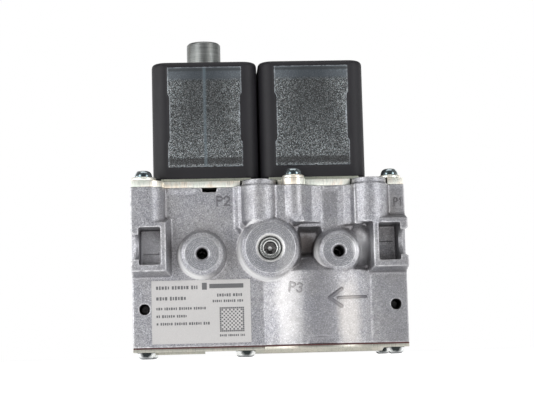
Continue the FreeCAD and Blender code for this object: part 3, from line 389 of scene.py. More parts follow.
def smooth_faces(made, angle=None):
    """Smooth shading, apart from edges sharper than the angle."""
    made.data.polygons.foreach_set("use_smooth", [True] * len(made.data.polygons))
    if angle is not None:
        made.data.set_sharp_from_angle(angle=math.radians(angle))


def mesh_piece(name, points, faces, smooth=True):
    """A new mesh object."""
    mesh = bpy.data.meshes.new(name)
    mesh.from_pydata([tuple(value * MM for value in point) for point in points], [], faces)
    mesh.update()
    mesh.polygons.foreach_set("use_smooth", [smooth] * len(mesh.polygons))
    return placed(name, mesh)


def ring(centre, axis, radius, level, sides=0, steps=72):
    """Points round an axis at one level: a circle, or a polygon measured to its flats."""
    points = []
    for step in range(steps):
        turn = 2 * math.pi * step / steps
        reach = radius
        if sides:
            sector = 2 * math.pi / sides
            reach = radius / math.cos(turn % sector - sector / 2)
        first = centre[0] + reach * math.cos(turn)
        second = centre[1] + reach * math.sin(turn)
        points.append((first, second, level) if axis == "Z" else (first, level, second))
    return points


def lofted(name, stacks):
    """One mesh from several stacks of rings. A stack is closed at both ends, or is hollow when
    its last ring is its first one."""
    points, faces = [], []
    for rings in stacks:
        start = len(points)
        steps = len(rings[0])
        hollow = rings[0] == rings[-1]
        loops = rings[:-1] if hollow else rings
        for loop in loops:
            points.extend(loop)
        for level in range(len(rings) - 1):
            low = start + level * steps
            high = start + (level + 1) % len(loops) * steps
            for step in range(steps):
                beside = (step + 1) % steps
                faces.append((low + step, low + beside, high + beside, high + step))
        if not hollow:
            faces.append(tuple(range(start, start + steps)))
            faces.append(tuple(range(len(points) - steps, len(points))))
    made = mesh_piece(name, points, faces)
    work = bmesh.new()
    work.from_mesh(made.data)
    bmesh.ops.recalc_face_normals(work, faces=work.faces)
    work.to_mesh(made.data)
    work.free()
    made.data.set_sharp_from_angle(angle=math.radians(50.0))
    return made


def grid_faces(rows, columns, start=0):
    """The faces between rows of points, each row with one point more than its columns."""
    stride = columns + 1
    faces = []
    for row in range(rows):
        for column in range(columns):
            corner = start + row * stride + column
            faces.append((corner, corner + 1, corner + stride + 1, corner + stride))
    return faces


def read(items, label, width, kind=float):
    """One property of all the points or edges of a mesh, as rows of numbers."""
    values = np.zeros(len(items) * width, kind)
    items.foreach_get(label, values)
    return values.reshape(-1, width)


def loose_parts(node):
    """Boxes of the separate solids in a CAD node, left to right."""
    mesh = frame["nodes"][node].data
    points = read(mesh.vertices, "co", 3) / MM
    keys, group = np.unique(points.round(3), axis=0, return_inverse=True)
    pairs = group.reshape(-1)[read(mesh.edges, "vertices", 2, int)]
    label = np.arange(len(keys))
    changed = True
    while changed:
        low = np.minimum(label[pairs[:, 0]], label[pairs[:, 1]])
        fresh = label.copy()
        np.minimum.at(fresh, pairs[:, 0], low)
        np.minimum.at(fresh, pairs[:, 1], low)
        fresh = fresh[fresh]
        changed = bool((fresh != label).any())
        label = fresh
    boxes = [(keys[label == mark].min(0), keys[label == mark].max(0)) for mark in np.unique(label)]
    return sorted(boxes, key=lambda pair: tuple(pair[0]))


def round_parts(node):
    """Centre, radius, foot and top of each upright round solid in a CAD node."""
    for low, high in loose_parts(node):
        centre = ((low[0] + high[0]) / 2, (low[1] + high[1]) / 2)
        yield centre, (high[0] - low[0]) / 2, low[2], high[2]


def node_copy(node, name):
    """A free copy of a CAD node's mesh, with its doubled corner points joined."""
    mesh = frame["nodes"][node].data.copy()
    mesh.materials.clear()
    made = placed(name, mesh)
    if mesh.has_custom_normals:
        bpy.context.view_layer.objects.active = made
        bpy.ops.mesh.customdata_custom_splitnormals_clear()
    weld = made.modifiers.new("weld", "WELD")
    weld.merge_threshold = WELD_GAP * MM
    return made


def bake_modifiers(made):
    """Turns a piece's modifiers into plain geometry."""
    depsgraph = bpy.context.evaluated_depsgraph_get()
    baked = bpy.data.meshes.new_from_object(made.evaluated_get(depsgraph))
    baked.name = made.name
    made.modifiers.clear()
    made.data = baked


def cut_away(made, cutter):
    """Removes one mesh from another."""
    cut = made.modifiers.new("cut", "BOOLEAN")
    cut.operation = "DIFFERENCE"
    cut.object = cutter
    bake_modifiers(made)
    bpy.data.objects.remove(cutter)
    smooth_faces(made, 35.0)


def joined(made, parts):
    """Puts other meshes into a mesh as they are, for a remesh to fuse."""
    work = bmesh.new()
    work.from_mesh(made.data)
    for part in parts:
        work.from_mesh(part.data)
        bpy.data.objects.remove(part)
    work.to_mesh(made.data)
    work.free()


def cast_form(made, voxel, rounds, faces):
    """Rounds every edge as a casting or moulding is rounded, within a number of faces."""
    remesh = made.modifiers.new("remesh", "REMESH")
    remesh.mode = "VOXEL"
    remesh.voxel_size = voxel * MM
    smooth = made.modifiers.new("smooth", "SMOOTH")
    smooth.factor = 0.5
    smooth.iterations = rounds
    bake_modifiers(made)
    thin = made.modifiers.new("thin", "DECIMATE")
    thin.ratio = min(1.0, faces / (2 * len(made.data.polygons)))
    bake_modifiers(made)
    smooth_faces(made)


def edged_form(made, width):
    """Breaks the sharp edges of a pressed or turned piece."""
    dissolve = made.modifiers.new("flat", "DECIMATE")
    dissolve.decimate_type = "DISSOLVE"
    dissolve.angle_limit = math.radians(1.0)
    bevel = made.modifiers.new("edges", "BEVEL")
    bevel.width = width * MM
    bevel.segments = 3
    bevel.limit_method = "ANGLE"
    bevel.angle_limit = math.radians(30.0)
    bake_modifiers(made)
    smooth_faces(made, 40.0)


def mark_ridges(made, spread):
    """Stores how far each point stands out: above a half on an edge, below it in a corner."""
    mesh = made.data
    count = len(mesh.vertices)
    points = read(mesh.vertices, "co", 3) / MM
    normals = read(mesh.vertices, "normal", 3)
    first, second = read(mesh.edges, "vertices", 2, int).T
    reach = points[second] - points[first]
    square = np.maximum((reach * reach).sum(1), 1e-6)
    bend = np.zeros(count)
    number = np.zeros(count)
    np.add.at(bend, first, -(normals[first] * reach).sum(1) / square)
    np.add.at(bend, second, (normals[second] * reach).sum(1) / square)
    np.add.at(number, first, 1)
    np.add.at(number, second, 1)
    bend = bend / np.maximum(number, 1)
    for _ in range(spread):
        total = bend.copy()
        np.add.at(total, first, bend[second])
        np.add.at(total, second, bend[first])
        bend = total / (number + 1)
    store(made, "ridge", np.clip(0.5 + bend, 0, 1).astype(np.float32))


def store(made, label, values):
    """Keeps one number for each point of a piece, for its material to read."""
    made.data.attributes.new(label, "FLOAT", "POINT").data.foreach_set("value", values)


# ---------------------------------------------------------------- shader helpers

def add(tree, kind, **values):
    """A new node: each value goes to the input of that name, or else to the node's own setting."""
    made = tree.nodes.new(kind)
    for key, value in values.items():
        label = key.replace("_", " ")
        if label in made.inputs:
            made.inputs[label].default_value = value
        else:
            setattr(made, key, value)
    return made


def tree_of(*values):
    """The node tree of the first linked value."""
    return next(value.id_data for value in values if hasattr(value, "id_data"))


def feed(value, socket):
    """Links an output to a socket, or writes a plain number or colour there."""
    if isinstance(value, tuple):
        socket.default_value = value + (1,)
    elif isinstance(value, (int, float)):
        socket.default_value = value
    else:
        socket.id_data.links.new(value, socket)


def maths(operation, first, second=0.0, clamp=False):
    """One sum on two values."""
    made = add(tree_of(first, second), "ShaderNodeMath", operation=operation, use_clamp=clamp)
    feed(first, made.inputs[0])
    feed(second, made.inputs[1])
    return made.outputs[0]


def times(first, second):
    return maths("MULTIPLY", first, second)


def plus(first, second):
    return maths("ADD", first, second)


def minus(first, second):
    return maths("SUBTRACT", first, second)


def span(value, low, high, to_low=0.0, to_high=1.0):
    """Maps a value from one range to another, held at both ends."""
    made = add(value.id_data, "ShaderNodeMapRange", From_Min=low, From_Max=high, To_Min=to_low,
               To_Max=to_high)
    feed(value, made.inputs["Value"])
    return made.outputs["Result"]


def blend(share, first, second, kind="MIX"):
    """A mix of two colours."""
    made = add(tree_of(share, first, second), "ShaderNodeMix", data_type="RGBA", blend_type=kind)
    feed(share, made.inputs[0])
    feed(first, made.inputs[6])
    feed(second, made.inputs[7])
    return made.outputs[2]


def shade(colour, share):
    """A darker or lighter tone of a colour."""
    return tuple(value * share for value in colour)


def stretched(place, factors):
    """A place with each of its directions scaled on its own."""
    made = add(place.id_data, "ShaderNodeVectorMath", operation="MULTIPLY")
    feed(place, made.inputs[0])
    made.inputs[1].default_value = factors
    return made.outputs[0]


def noise(place, scale, detail=2.0, rough=0.5):
    """Soft random values over the surface."""
    made = add(place.id_data, "ShaderNodeTexNoise", Scale=scale, Detail=detail, Roughness=rough)
    feed(place, made.inputs["Vector"])
    return made.outputs["Fac"]


def cell_values(place, scale):
    """Three random values that stay the same all over one small cell."""
    cells = add(place.id_data, "ShaderNodeTexVoronoi", Scale=scale)
    feed(place, cells.inputs["Vector"])
    made = add(place.id_data, "ShaderNodeSeparateColor")
    feed(cells.outputs["Color"], made.inputs[0])
    return made.outputs


def stored(place, label):
    """The number kept for each point under a label."""
    return add(place.id_data, "ShaderNodeAttribute", attribute_name=label).outputs["Fac"]


def bumped(height, strength, distance, under=None):
    """Relief from a height, over another relief if there is one."""
    made = add(height.id_data, "ShaderNodeBump", Strength=strength, Distance=distance * MM)
    feed(height, made.inputs["Height"])
    if under is not None:
        feed(under, made.inputs["Normal"])
    return made.outputs[0]


def new_material(name):
    """A new material, its shader and the place of a point on the object in millimetres."""
    made = bpy.data.materials.new(name)
    made.use_nodes = True
    tree = made.node_tree
    tree.nodes.clear()
    shader = add(tree, "ShaderNodeBsdfPrincipled")
    output = add(tree, "ShaderNodeOutputMaterial")
    feed(shader.outputs[0], output.inputs["Surface"])
    source = add(tree, "ShaderNodeTexCoord")
    place = add(tree, "ShaderNodeVectorMath", operation="SCALE", Scale=1 / MM)
    feed(source.outputs["Object"], place.inputs[0])
    return made, shader, place.outputs[0]


def coat(shader, colour, rough, relief, metallic=0.0):
    """Gives a shader its colour, roughness, relief and metallic share."""
    feed(colour, shader.inputs["Base Color"])
    feed(rough, shader.inputs["Roughness"])
    feed(relief, shader.inputs["Normal"])
    feed(metallic, shader.inputs["Metallic"])


def parts_of(vector):
    """The three parts of a place or a direction."""
    made = add(vector.id_data, "ShaderNodeSeparateXYZ")
    feed(vector, made.inputs[0])
    return made.outputs


def sheltered(place, reach):
    """How open a point is to its surroundings: one in the open, nought deep in a hole."""
    made = add(place.id_data, "ShaderNodeAmbientOcclusion", samples=8, Distance=reach * MM)
    return made.outputs["AO"]


def axis_distance(place, x, z, wide=1.0, high=1.0):
    """Distance from an axis that runs front to back through x and z, in shares of two reaches."""
    across, _, up = parts_of(place)
    aside = maths("DIVIDE", minus(across, x), wide)
    above = maths("DIVIDE", minus(up, z), high)
    return maths("SQRT", plus(times(aside, aside), times(above, above)))


def band(value, low_ends, high_ends):
    """One between two soft edges, each of which rises from its first end to its second."""
    return times(span(value, *low_ends), span(value, *high_ends))


# ---------------------------------------------------------------- materials

def cast_skin(place, grain, stains):
    """The casting's plain skin: light and dark grain, warm clouds, stains, sparks and specks."""
    cloud = noise(place, 0.06, 3.0, 0.5)
    crystal = cell_values(place, 2.4)
    tone = blend(span(grain, 0.36, 0.64), CAST_DARK, CAST_LIGHT)
    tone = blend(span(cloud, 0.35, 0.7, 0.0, 0.45), tone, CAST_WARM)
    tone = blend(span(stains, 0.52, 0.72, 0.0, 0.40), tone, CAST_STAIN)
    tone = blend(span(crystal[0], 0.70, 1.0, 0.0, 0.45), tone, CAST_SPARK)
    return blend(span(crystal[1], 0.70, 1.0, 0.0, 0.45), tone, CAST_SPECK)


def turned_faces(place, facing, tone):
    """Turned rings and a painted highlight along the rim of each boss face: the new colour and the
    rings' height.
    """
    rings = 0.0
    for x, z, radius in BOSS_FACES:
        distance = axis_distance(place, x, z)
        share = times(span(distance, radius + 0.1, radius - 0.3), facing)
        rim = times(span(distance, radius - 0.75, radius - 0.45), share)
        wobble = times(noise(place, 0.5, 2.0, 0.5), 5.0)
        wave = maths("SINE", plus(times(distance, 8.0), wobble))
        groove = times(share, span(wave, -0.8, 0.9, 0.0, 0.75))
        tone = blend(groove, tone, TURNED_GROOVE)
        # painted highlight along the rim of the face
        tone = blend(times(rim, 0.25), tone, RIM_HIGHLIGHT)
        rings = plus(rings, times(share, wave))
    return tone, rings


def boss_zones(place):
    """Where the painted edge highlights are damped, on and just round the bosses, and where the
    shoulders lie.
    """
    calm = 0.0
    flank = 0.0
    for x, z, radius in BOSS_FACES:
        distance = axis_distance(place, x, z)
        calm = plus(calm, span(distance, radius + 1.2, radius + 0.8, 0.0, 0.8))
        foot = band(distance, (radius + 1.1, radius + 2.1), (radius + 3.6, radius + 3.0))
        flank = plus(flank, foot)
    return calm, flank


def lit_flanks(flank, facing, normal):
    """The part of the shoulders that leans to the lower left, where it catches the light."""
    flank = maths("MULTIPLY", flank, minus(1.0, facing), clamp=True)
    across, _, up = parts_of(normal)
    lean = plus(times(across, -0.62), times(up, -0.55))
    return times(flank, span(lean, 0.10, 0.62))


def painted_edge_light(place, calm, tone):
    """Painted highlights in broken lines along the edges and painted shade along the corners."""
    ridge = stored(place, "ridge")
    broken = span(noise(place, 0.5, 4.0, 0.65), 0.38, 0.62, 0.12, 1.0)
    edge = times(span(ridge, 0.60, 0.85, 0.0, 0.7), broken)
    edge = times(edge, minus(1.0, calm))
    tone = blend(edge, tone, EDGE_HIGHLIGHT)
    tone = blend(span(ridge, 0.44, 0.22, 0.0, 0.45), tone, CORNER_SHADE_GREY)
    return blend(span(ridge, 0.20, 0.05, 0.0, 0.6), tone, CORNER_SHADE_DARK)


def patched(place, tone, patch):
    """Blends a soft oval patch of another colour into the front of the casting."""
    x, z, wide, high, share, colour = patch
    depth = parts_of(place)[1]
    distance = axis_distance(place, x, z, wide, high)
    wander = times(noise(place, 0.25, 2.0, 0.5), 0.5)
    mask = span(plus(distance, wander), 1.35, 0.75, 0.0, share)
    return blend(times(mask, span(depth, 0.0, -15.0)), tone, colour)


def mouth_highlight_mask(place):
    """A painted highlight ring round the adjuster's bore, on the front only."""
    inner, outer = MOUTH_RADII
    distance = axis_distance(place, ADJUSTER_BOSS[0], ADJUSTER_BOSS[1])
    mouth = band(distance, (inner, inner + 0.2), (outer, outer - 0.3))
    mouth = times(mouth, span(parts_of(place)[1], -25.0, -33.0))
    return times(mouth, 0.8)


def cast_relief(place, grain, rings):
    """Grain, fine grain, scratches and turned rings, one over the other."""
    scratch = noise(stretched(place, (0.25, 1.0, 2.6)), 0.9, 2.0, 0.5)
    relief = bumped(grain, 0.35, 0.14)
    relief = bumped(noise(place, 5.5, 2.0, 0.6), 0.30, 0.07, relief)
    relief = bumped(span(scratch, 0.64, 0.70), 0.25, 0.10, relief)
    return bumped(rings, 0.20, 0.05, relief)


def cast_aluminium():
    """Grainy die-cast skin with turned boss faces, painted edge highlights and painted shade in
    hollows.
    """
    made, shader, place = new_material("cast_aluminium")
    openness = sheltered(place, 7.0)
    normal = add(place.id_data, "ShaderNodeNewGeometry").outputs["True Normal"]
    facing = span(parts_of(normal)[1], -0.93, -0.985)
    grain = noise(place, 2.4, 3.0, 0.75)
    stains = noise(place, 0.3, 4.0, 0.6)
    calm, flank = boss_zones(place)
    flank = lit_flanks(flank, facing, normal)

    tone = cast_skin(place, grain, stains)
    tone, rings = turned_faces(place, facing, tone)
    # painted highlights along the edges and painted shade in the corners
    tone = painted_edge_light(place, calm, tone)
    # painted reflection and highlights on the bulge, painted shade in the valley, darker patches
    for patch in SHADE_TONE_AND_HIGHLIGHT_PATCHES:
        tone = patched(place, tone, patch)
    # painted shade, with some dirt, in the recesses
    tone = blend(span(openness, 0.86, 0.25, 0.0, 0.50), tone, RECESS_SHADE_AND_DIRT)
    # painted highlight round the mouth of the adjuster's bore
    tone = blend(mouth_highlight_mask(place), tone, BORE_HIGHLIGHT)
    tone = blend(times(flank, 0.85), tone, LIT_FLANK)
    # painted light in the hollow right of the right boss and in the left pocket
    for patch in PAINTED_HIGHLIGHT_PATCHES:
        tone = patched(place, tone, patch)
    # painted shade deep in the holes
    tone = blend(span(openness, 0.20, 0.06), tone, HOLE_SHADE)
    rough = plus(span(grain, 0.3, 0.7, 0.39, 0.54), span(stains, 0.4, 0.7, 0.0, 0.08))
    coat(shader, tone, rough, cast_relief(place, grain, rings), span(flank, 0.0, 1.0, 1.0, 0.25))
    return made


def plated(name, low, centre, high, rough, grain_size, metallic):
    """Plated or bare metal whose colour drifts over the surface, with painted shade in its hollows.
    """
    made, shader, place = new_material(name)
    drift = noise(place, 0.16, 3.0, 0.55)
    grain = noise(place, grain_size, 3.0, 0.6)
    sheared = noise(stretched(place, (2.6, 2.6, 0.25)), 1.0, 2.0, 0.6)
    tone = blend(span(drift, 0.30, 0.52), low, centre)
    tone = blend(span(drift, 0.50, 0.68), tone, high)
    tone = blend(span(grain, 0.35, 0.65, 0.0, 0.30), tone, shade(centre, 0.75))
    tone = blend(span(sheared, 0.52, 0.66, 0.0, 0.5), tone, shade(low, 0.5))
    # painted shade in the hollows
    tone = blend(span(sheltered(place, 2.5), 0.75, 0.25, 0.0, 0.8), tone, shade(low, 0.18))
    coat(shader, tone, span(grain, 0.3, 0.7, rough, rough + 0.12),
         bumped(grain, 0.2, 0.05), metallic)
    return made


def zinc_with_painted_reflection(name, dark, bright, edge):
    """Bright zinc on a small round head, with a painted dark reflection in its middle and painted
    sheen at its edge.
    """
    made, shader, place = new_material(name)
    grain = noise(place, 2.2, 3.0, 0.6)
    drift = times(noise(place, 0.5, 2.0, 0.5), 0.3)
    facing = add(place.id_data, "ShaderNodeLayerWeight", Blend=0.5).outputs["Facing"]
    # painted dark reflection in the middle, painted sheen towards the edge
    tone = blend(span(plus(facing, drift), 0.25, edge), dark, bright)
    tone = blend(span(grain, 0.40, 0.65, 0.0, 0.35), tone, dark)
    # painted shade in the hollows
    tone = blend(span(sheltered(place, 2.0), 0.70, 0.25, 0.0, 0.8), tone, (0.02, 0.025, 0.03))
    coat(shader, tone, span(grain, 0.3, 0.7, 0.12, 0.24), bumped(grain, 0.2, 0.04), 1.0)
    return made


def plug_steel():
    """The turned adjusting plug: bright lands and dark grooves, painted highlights in and on its
    socket, and painted shade in the socket and on its rim.
    """
    made, shader, place = new_material("plug_steel")
    spot = middle("regulator_adjuster")
    distance = axis_distance(place, spot.x, spot.z)
    grain = noise(place, 3.0, 3.0, 0.6)
    wave = maths("SINE", times(distance, 14.0))
    tone = blend(span(grain, 0.3, 0.7), (0.24, 0.25, 0.25), (0.44, 0.45, 0.44))
    # painted highlights and shade in and round the socket and at the rim, and rings of the face
    for inner, outer, share, colour in PLUG_TONE_AND_LIGHT_BANDS:
        land = band(distance, (inner - 0.1, inner + 0.1), (outer + 0.1, outer - 0.1))
        tone = blend(times(land, share), tone, colour)
    coat(shader, tone, span(grain, 0.3, 0.7, 0.20, 0.34),
         bumped(wave, 0.3, 0.05, bumped(grain, 0.2, 0.04)), 1.0)
    return made


def turned_steel():
    """Bare turned steel with fine rings round an upright axis."""
    made, shader, place = new_material("turned_steel")
    lines = noise(stretched(place, (0.06, 0.06, 5.0)), 1.0, 3.0, 0.7)
    streaks = noise(stretched(place, (0.5, 0.5, 0.12)), 1.0, 3.0, 0.6)
    tone = blend(span(lines, 0.3, 0.7), (0.12, 0.13, 0.13), (0.31, 0.32, 0.31))
    tone = blend(span(streaks, 0.5, 0.7, 0.0, 0.4), tone, (0.22, 0.21, 0.19))
    coat(shader, tone, span(lines, 0.3, 0.7, 0.36, 0.52), bumped(lines, 0.5, 0.06), 1.0)
    return made


def moulded(name, colour, rough, grain_size, depth):
    """Moulded plastic or rubber with a fine skin."""
    made, shader, place = new_material(name)
    shader.inputs["Specular IOR Level"].default_value = 0.35
    grain = noise(place, grain_size, 3.0, 0.6)
    cloud = noise(place, 0.05, 2.0, 0.5)
    light = shade(colour, 1.2)
    tone = blend(span(cloud, 0.3, 0.7), shade(colour, 0.8), light)
    tone = blend(span(grain, 0.4, 0.7, 0.0, 0.35), tone, light)
    coat(shader, tone, span(grain, 0.3, 0.7, rough - 0.05, rough + 0.08),
         bumped(grain, 0.3, depth))
    return made


def painted_grit_glint(place, grit, outward):
    """How bright the grit of a coil panel is painted to glint: most at its sides and low down."""
    up = parts_of(place)[2]
    patch = noise(place, 0.13, 3.0, 0.6)
    lower = span(up, PANEL_FOOT + 26.0, PANEL_FOOT + 5.0, 0.0, 0.8)
    lit = maths("MAXIMUM", maths("POWER", outward, 1.5), lower)
    lit = times(lit, span(patch, 0.3, 0.6, 0.55, 1.1))
    return times(maths("POWER", grit, 3.8), span(lit, 0.0, 1.0, 0.30, 1.0))


def panel_bands(up, outward, tone):
    """The smooth band near the top of a coil panel, with a painted sheen lighter towards its sides,
    the line over it and painted shade along the foot.
    """
    low, high = PANEL_FOOT, PANEL_TOP
    # painted sheen, lighter towards the sides
    smooth_sheen_tone = blend(outward, (0.036, 0.045, 0.055), (0.085, 0.10, 0.115))
    top_band = span(up, high - 6.8, high - 5.0)
    top_line = band(up, (high - 2.2, high - 1.7), (high - 0.6, high - 1.0))
    foot_shade = band(up, (low + 4.6, low + 3.6), (low + 0.8, low + 1.4))
    tone = blend(times(top_band, 0.82), tone, smooth_sheen_tone)
    tone = blend(times(top_line, 0.7), tone, (0.015, 0.018, 0.020))
    # painted shade along the foot
    return blend(times(foot_shade, 0.8), tone, (0.010, 0.010, 0.011))


def speckled_resin(name, axis):
    """The coil's glittering front panel: black resin with bright grit, smoother near its top; the
    grit's glint is painted brighter at the sides and low down.
    """
    made, shader, place = new_material(name)
    across, _, up = parts_of(place)
    grit = cell_values(place, 4.0)
    offset = maths("DIVIDE", minus(across, axis), PANEL_HALF)
    outward = span(maths("ABSOLUTE", offset), 0.25, 1.0)
    # painted glint of the grit, brighter at the sides and low down
    level = painted_grit_glint(place, grit[0], outward)
    tone = blend(level, (0.008, 0.009, 0.010), (0.56, 0.61, 0.63))
    tint = blend(grit[2], (0.90, 0.97, 1.0), (1.0, 0.93, 0.90))
    tone = blend(1.0, tone, tint, "MULTIPLY")
    tone = panel_bands(up, outward, tone)
    tone = blend(times(stored(place, "seam"), 0.55), tone, (0.085, 0.115, 0.135))
    edge = times(stored(place, "rim"), span(noise(place, 0.8, 2.0), 0.35, 0.6))
    tone = blend(edge, tone, (0.40, 0.44, 0.48))
    coat(shader, tone, span(grit[1], 0.0, 1.0, 0.35, 0.65), bumped(level, 0.30, 0.10))
    return made


def printed_label(name, colour, rough):
    """Silvery label film, or the ink on it."""
    made, shader, place = new_material(name)
    grain = noise(place, 3.0, 3.0, 0.6)
    cloud = noise(place, 0.08, 2.0, 0.5)
    dark = shade(colour, 0.9)
    tone = blend(span(grain, 0.35, 0.65), dark, colour)
    tone = blend(span(cloud, 0.4, 0.7, 0.0, 0.3), tone, dark)
    coat(shader, tone, rough, bumped(grain, 0.15, 0.03))
    return made


def all_materials():
    """Every material of the object by its name."""
    made = {"cast_aluminium": cast_aluminium(), "plug_steel": plug_steel(),
            "turned_steel": turned_steel()}
    for maker, table in ((plated, METALS), (zinc_with_painted_reflection, SCREW_ZINCS), (moulded, PLASTICS),
                         (printed_label, LABEL_PARTS)):
        for name, values in table.items():
            made[name] = maker(name, *values)
    return made


# ---------------------------------------------------------------- pieces

def finish_piece(made, material, body, slot, *nodes):
    """Gives a piece its material and the body it rides on, and hides the nodes it stands for; the
    slot is not used.
    """
    made.data.materials.clear()
    made.data.materials.append(material)
    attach(made, body)
    if nodes:
        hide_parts(*nodes)
    return made


def boss_shoulders():
    """A rounded shoulder round the foot of each boss."""
    parts = []
    for x, z, radius in BOSS_FACES:
        inside = radius - SHOULDER_OVERLAP
        outline = [(inside, FLAT_FRONT + SHOULDER_OVERLAP)]
        for step in range(SHOULDER_STEPS + 1):
            turn = math.radians(90 * step / SHOULDER_STEPS)
            reach = SHOULDER_WIDTH * math.cos(turn) ** SHOULDER_FULLNESS
            outline.append((radius + SHOULDER_START + reach,
                            FLAT_FRONT - SHOULDER_HEIGHT * math.sin(turn)))
        outline += [(inside, FLAT_FRONT - SHOULDER_HEIGHT), outline[0]]
        rings = [ring((x, z), "Y", reach, level, steps=96) for reach, level in outline]
        parts.append(lofted("shoulder", [rings]))
    return parts


def column_drafts():
    """The sloping strips that lead from the flat front up to two of the columns."""
    parts = []
    root = FLAT_FRONT + DRAFT_ROOT
    for foot, crest, rise, low, high, lean in COLUMN_DRAFTS:
        inner = crest + math.copysign(DRAFT_DEPTH, crest - foot)
        crown = FLAT_FRONT - rise
        section = [(foot, FLAT_FRONT + DRAFT_TOE), (crest, crown), (inner, crown), (inner, root),
                   (foot, root)]
        levels = ((high, 0.0), (low, 0.0), (low - DRAFT_TAPER * lean, lean))
        rings = [[(x + shift, y, level) for x, y in section] for level, shift in levels]
        parts.append(lofted("draft", [rings]))
    return parts


def valley_ring(share, level):
    """A rounded oblong round the valley's middle, at a share of its full size."""
    points = []
    for step in range(VALLEY_SIDES):
        turn = 2 * math.pi * step / VALLEY_SIDES
        aside = math.copysign(abs(math.cos(turn)) ** 0.5, math.cos(turn))
        above = math.copysign(abs(math.sin(turn)) ** 0.5, math.sin(turn))
        points.append((VALLEY_MIDDLE[0] + VALLEY_HALF[0] * share * aside, level,
                       VALLEY_MIDDLE[1] + VALLEY_HALF[1] * share * above))
    return points


def valley_bowl():
    """The rounded bottom of the valley, as a die leaves it."""
    rings = [valley_ring(VALLEY_TIP, VALLEY_BACK), valley_ring(1.0, VALLEY_BACK),
             valley_ring(1.0, VALLEY_RIM)]
    for step in range(1, VALLEY_LEVELS + 1):
        turn = math.radians(VALLEY_SWEEP * step / VALLEY_LEVELS)
        level = VALLEY_RIM + (VALLEY_FLOOR - VALLEY_RIM) * math.sin(turn)
        rings.append(valley_ring(math.cos(turn), level))
    return lofted("bowl", [rings])


def column_collars(made):
    """Sets the top of the tall columns back a little, so that a ledge shows round them."""
    mesh = made.data
    points = read(mesh.vertices, "co", 3) / MM
    for x, y, radius in TALL_COLUMNS:
        across = points[:, 0] - x
        inward = points[:, 1] - y
        distance = np.hypot(across, inward)
        on_wall = (distance < radius + COLLAR_MARGIN) & (distance > COLLAR_BORE)
        chosen = (points[:, 2] > COLLAR_HEIGHT) & on_wall
        share = 1 - COLLAR_SETBACK / np.maximum(distance, 1)
        points[chosen, 0] = x + across[chosen] * share[chosen]
        points[chosen, 1] = y + inward[chosen] * share[chosen]
    mesh.vertices.foreach_set("co", (points * MM).reshape(-1))
    mesh.update()


def casting(material):
    """The die-cast body, with its rounded forms, collars and stored edges."""
    made = node_copy("valve_body", "body_casting")
    bake_modifiers(made)
    joined(made, boss_shoulders() + column_drafts() + [valley_bowl()])
    cast_form(made, *CASTING_FORM)
    column_collars(made)
    mark_ridges(made, EDGE_SPREAD)
    return finish_piece(made, material, "valve", "cast_body", "valve_body")


def arc(x, z, wide, high, start, end):
    """Points on part of an ellipse, from one angle to another."""
    count = 10
    points = []
    for step in range(count + 1):
        turn = math.radians(start + (end - start) * step / count)
        points.append((x + wide * math.cos(turn), z + high * math.sin(turn)))
    return points


def straight(start, end, steps=10):
    """Evenly spaced points from one place to another."""
    return [(start[0] + (end[0] - start[0]) * step / steps,
             start[1] + (end[1] - start[1]) * step / steps) for step in range(steps + 1)]


def letter_strokes(letter):
    """Plain strokes of P, 1, 2 or 3, one unit high."""
    if letter == "P":
        return [[(0.02, 0.0), (0.02, 1.0)],
                [(0.02, 0.98), (0.30, 0.98)] + arc(0.30, 0.74, 0.28, 0.24, 80, -80)
                + [(0.30, 0.50), (0.02, 0.50)]]
    if letter == "1":
        return [[(0.08, 0.80), (0.30, 0.99)], [(0.30, 0.99), (0.30, 0.0)]]
    if letter == "2":
        return [arc(0.28, 0.73, 0.27, 0.26, 165, -35) + [(0.02, 0.02)],
                [(0.02, 0.02), (0.58, 0.02)]]
    return [arc(0.27, 0.76, 0.25, 0.23, 155, -80), arc(0.27, 0.26, 0.28, 0.26, 80, -155)]


def letter_lines(text, x, z, high, lean, narrow):
    """The strokes of a short text, set about its middle, leaning and narrowed as asked."""
    turn = math.radians(lean)
    wide = (LETTER_STEP + LETTER_WIDTH) * high
    lines = []
    for place, letter in enumerate(text):
        for stroke in letter_strokes(letter):
            line = []
            for across, up in stroke:
                flat_x = narrow * ((across + place * LETTER_STEP) * high - wide / 2)
                flat_z = (up - 0.5) * high
                line.append((x + flat_x * math.cos(turn) - flat_z * math.sin(turn),
                             z + flat_x * math.sin(turn) + flat_z * math.cos(turn)))
            lines.append(line)
    return lines


def round_cap(tip, inner, reach):
    """Points past the tip of a stroke, with a share of the full width that runs out to nothing."""
    away = (Vector(tip) - Vector(inner)).normalized()
    turns = [math.radians(turn) for turn in (85, 55, 28)]
    return [(tip[0] + away.x * reach * math.sin(turn), tip[1] + away.y * reach * math.sin(turn),
             math.cos(turn)) for turn in turns]


def round_ended(stroke, reach):
    """A stroke as points with a share of the full width, rounded at both ends."""
    body = [(x, z, 1.0) for x, z in stroke]
    return (round_cap(stroke[0], stroke[1], reach) + body
            + round_cap(stroke[-1], stroke[-2], reach)[::-1])


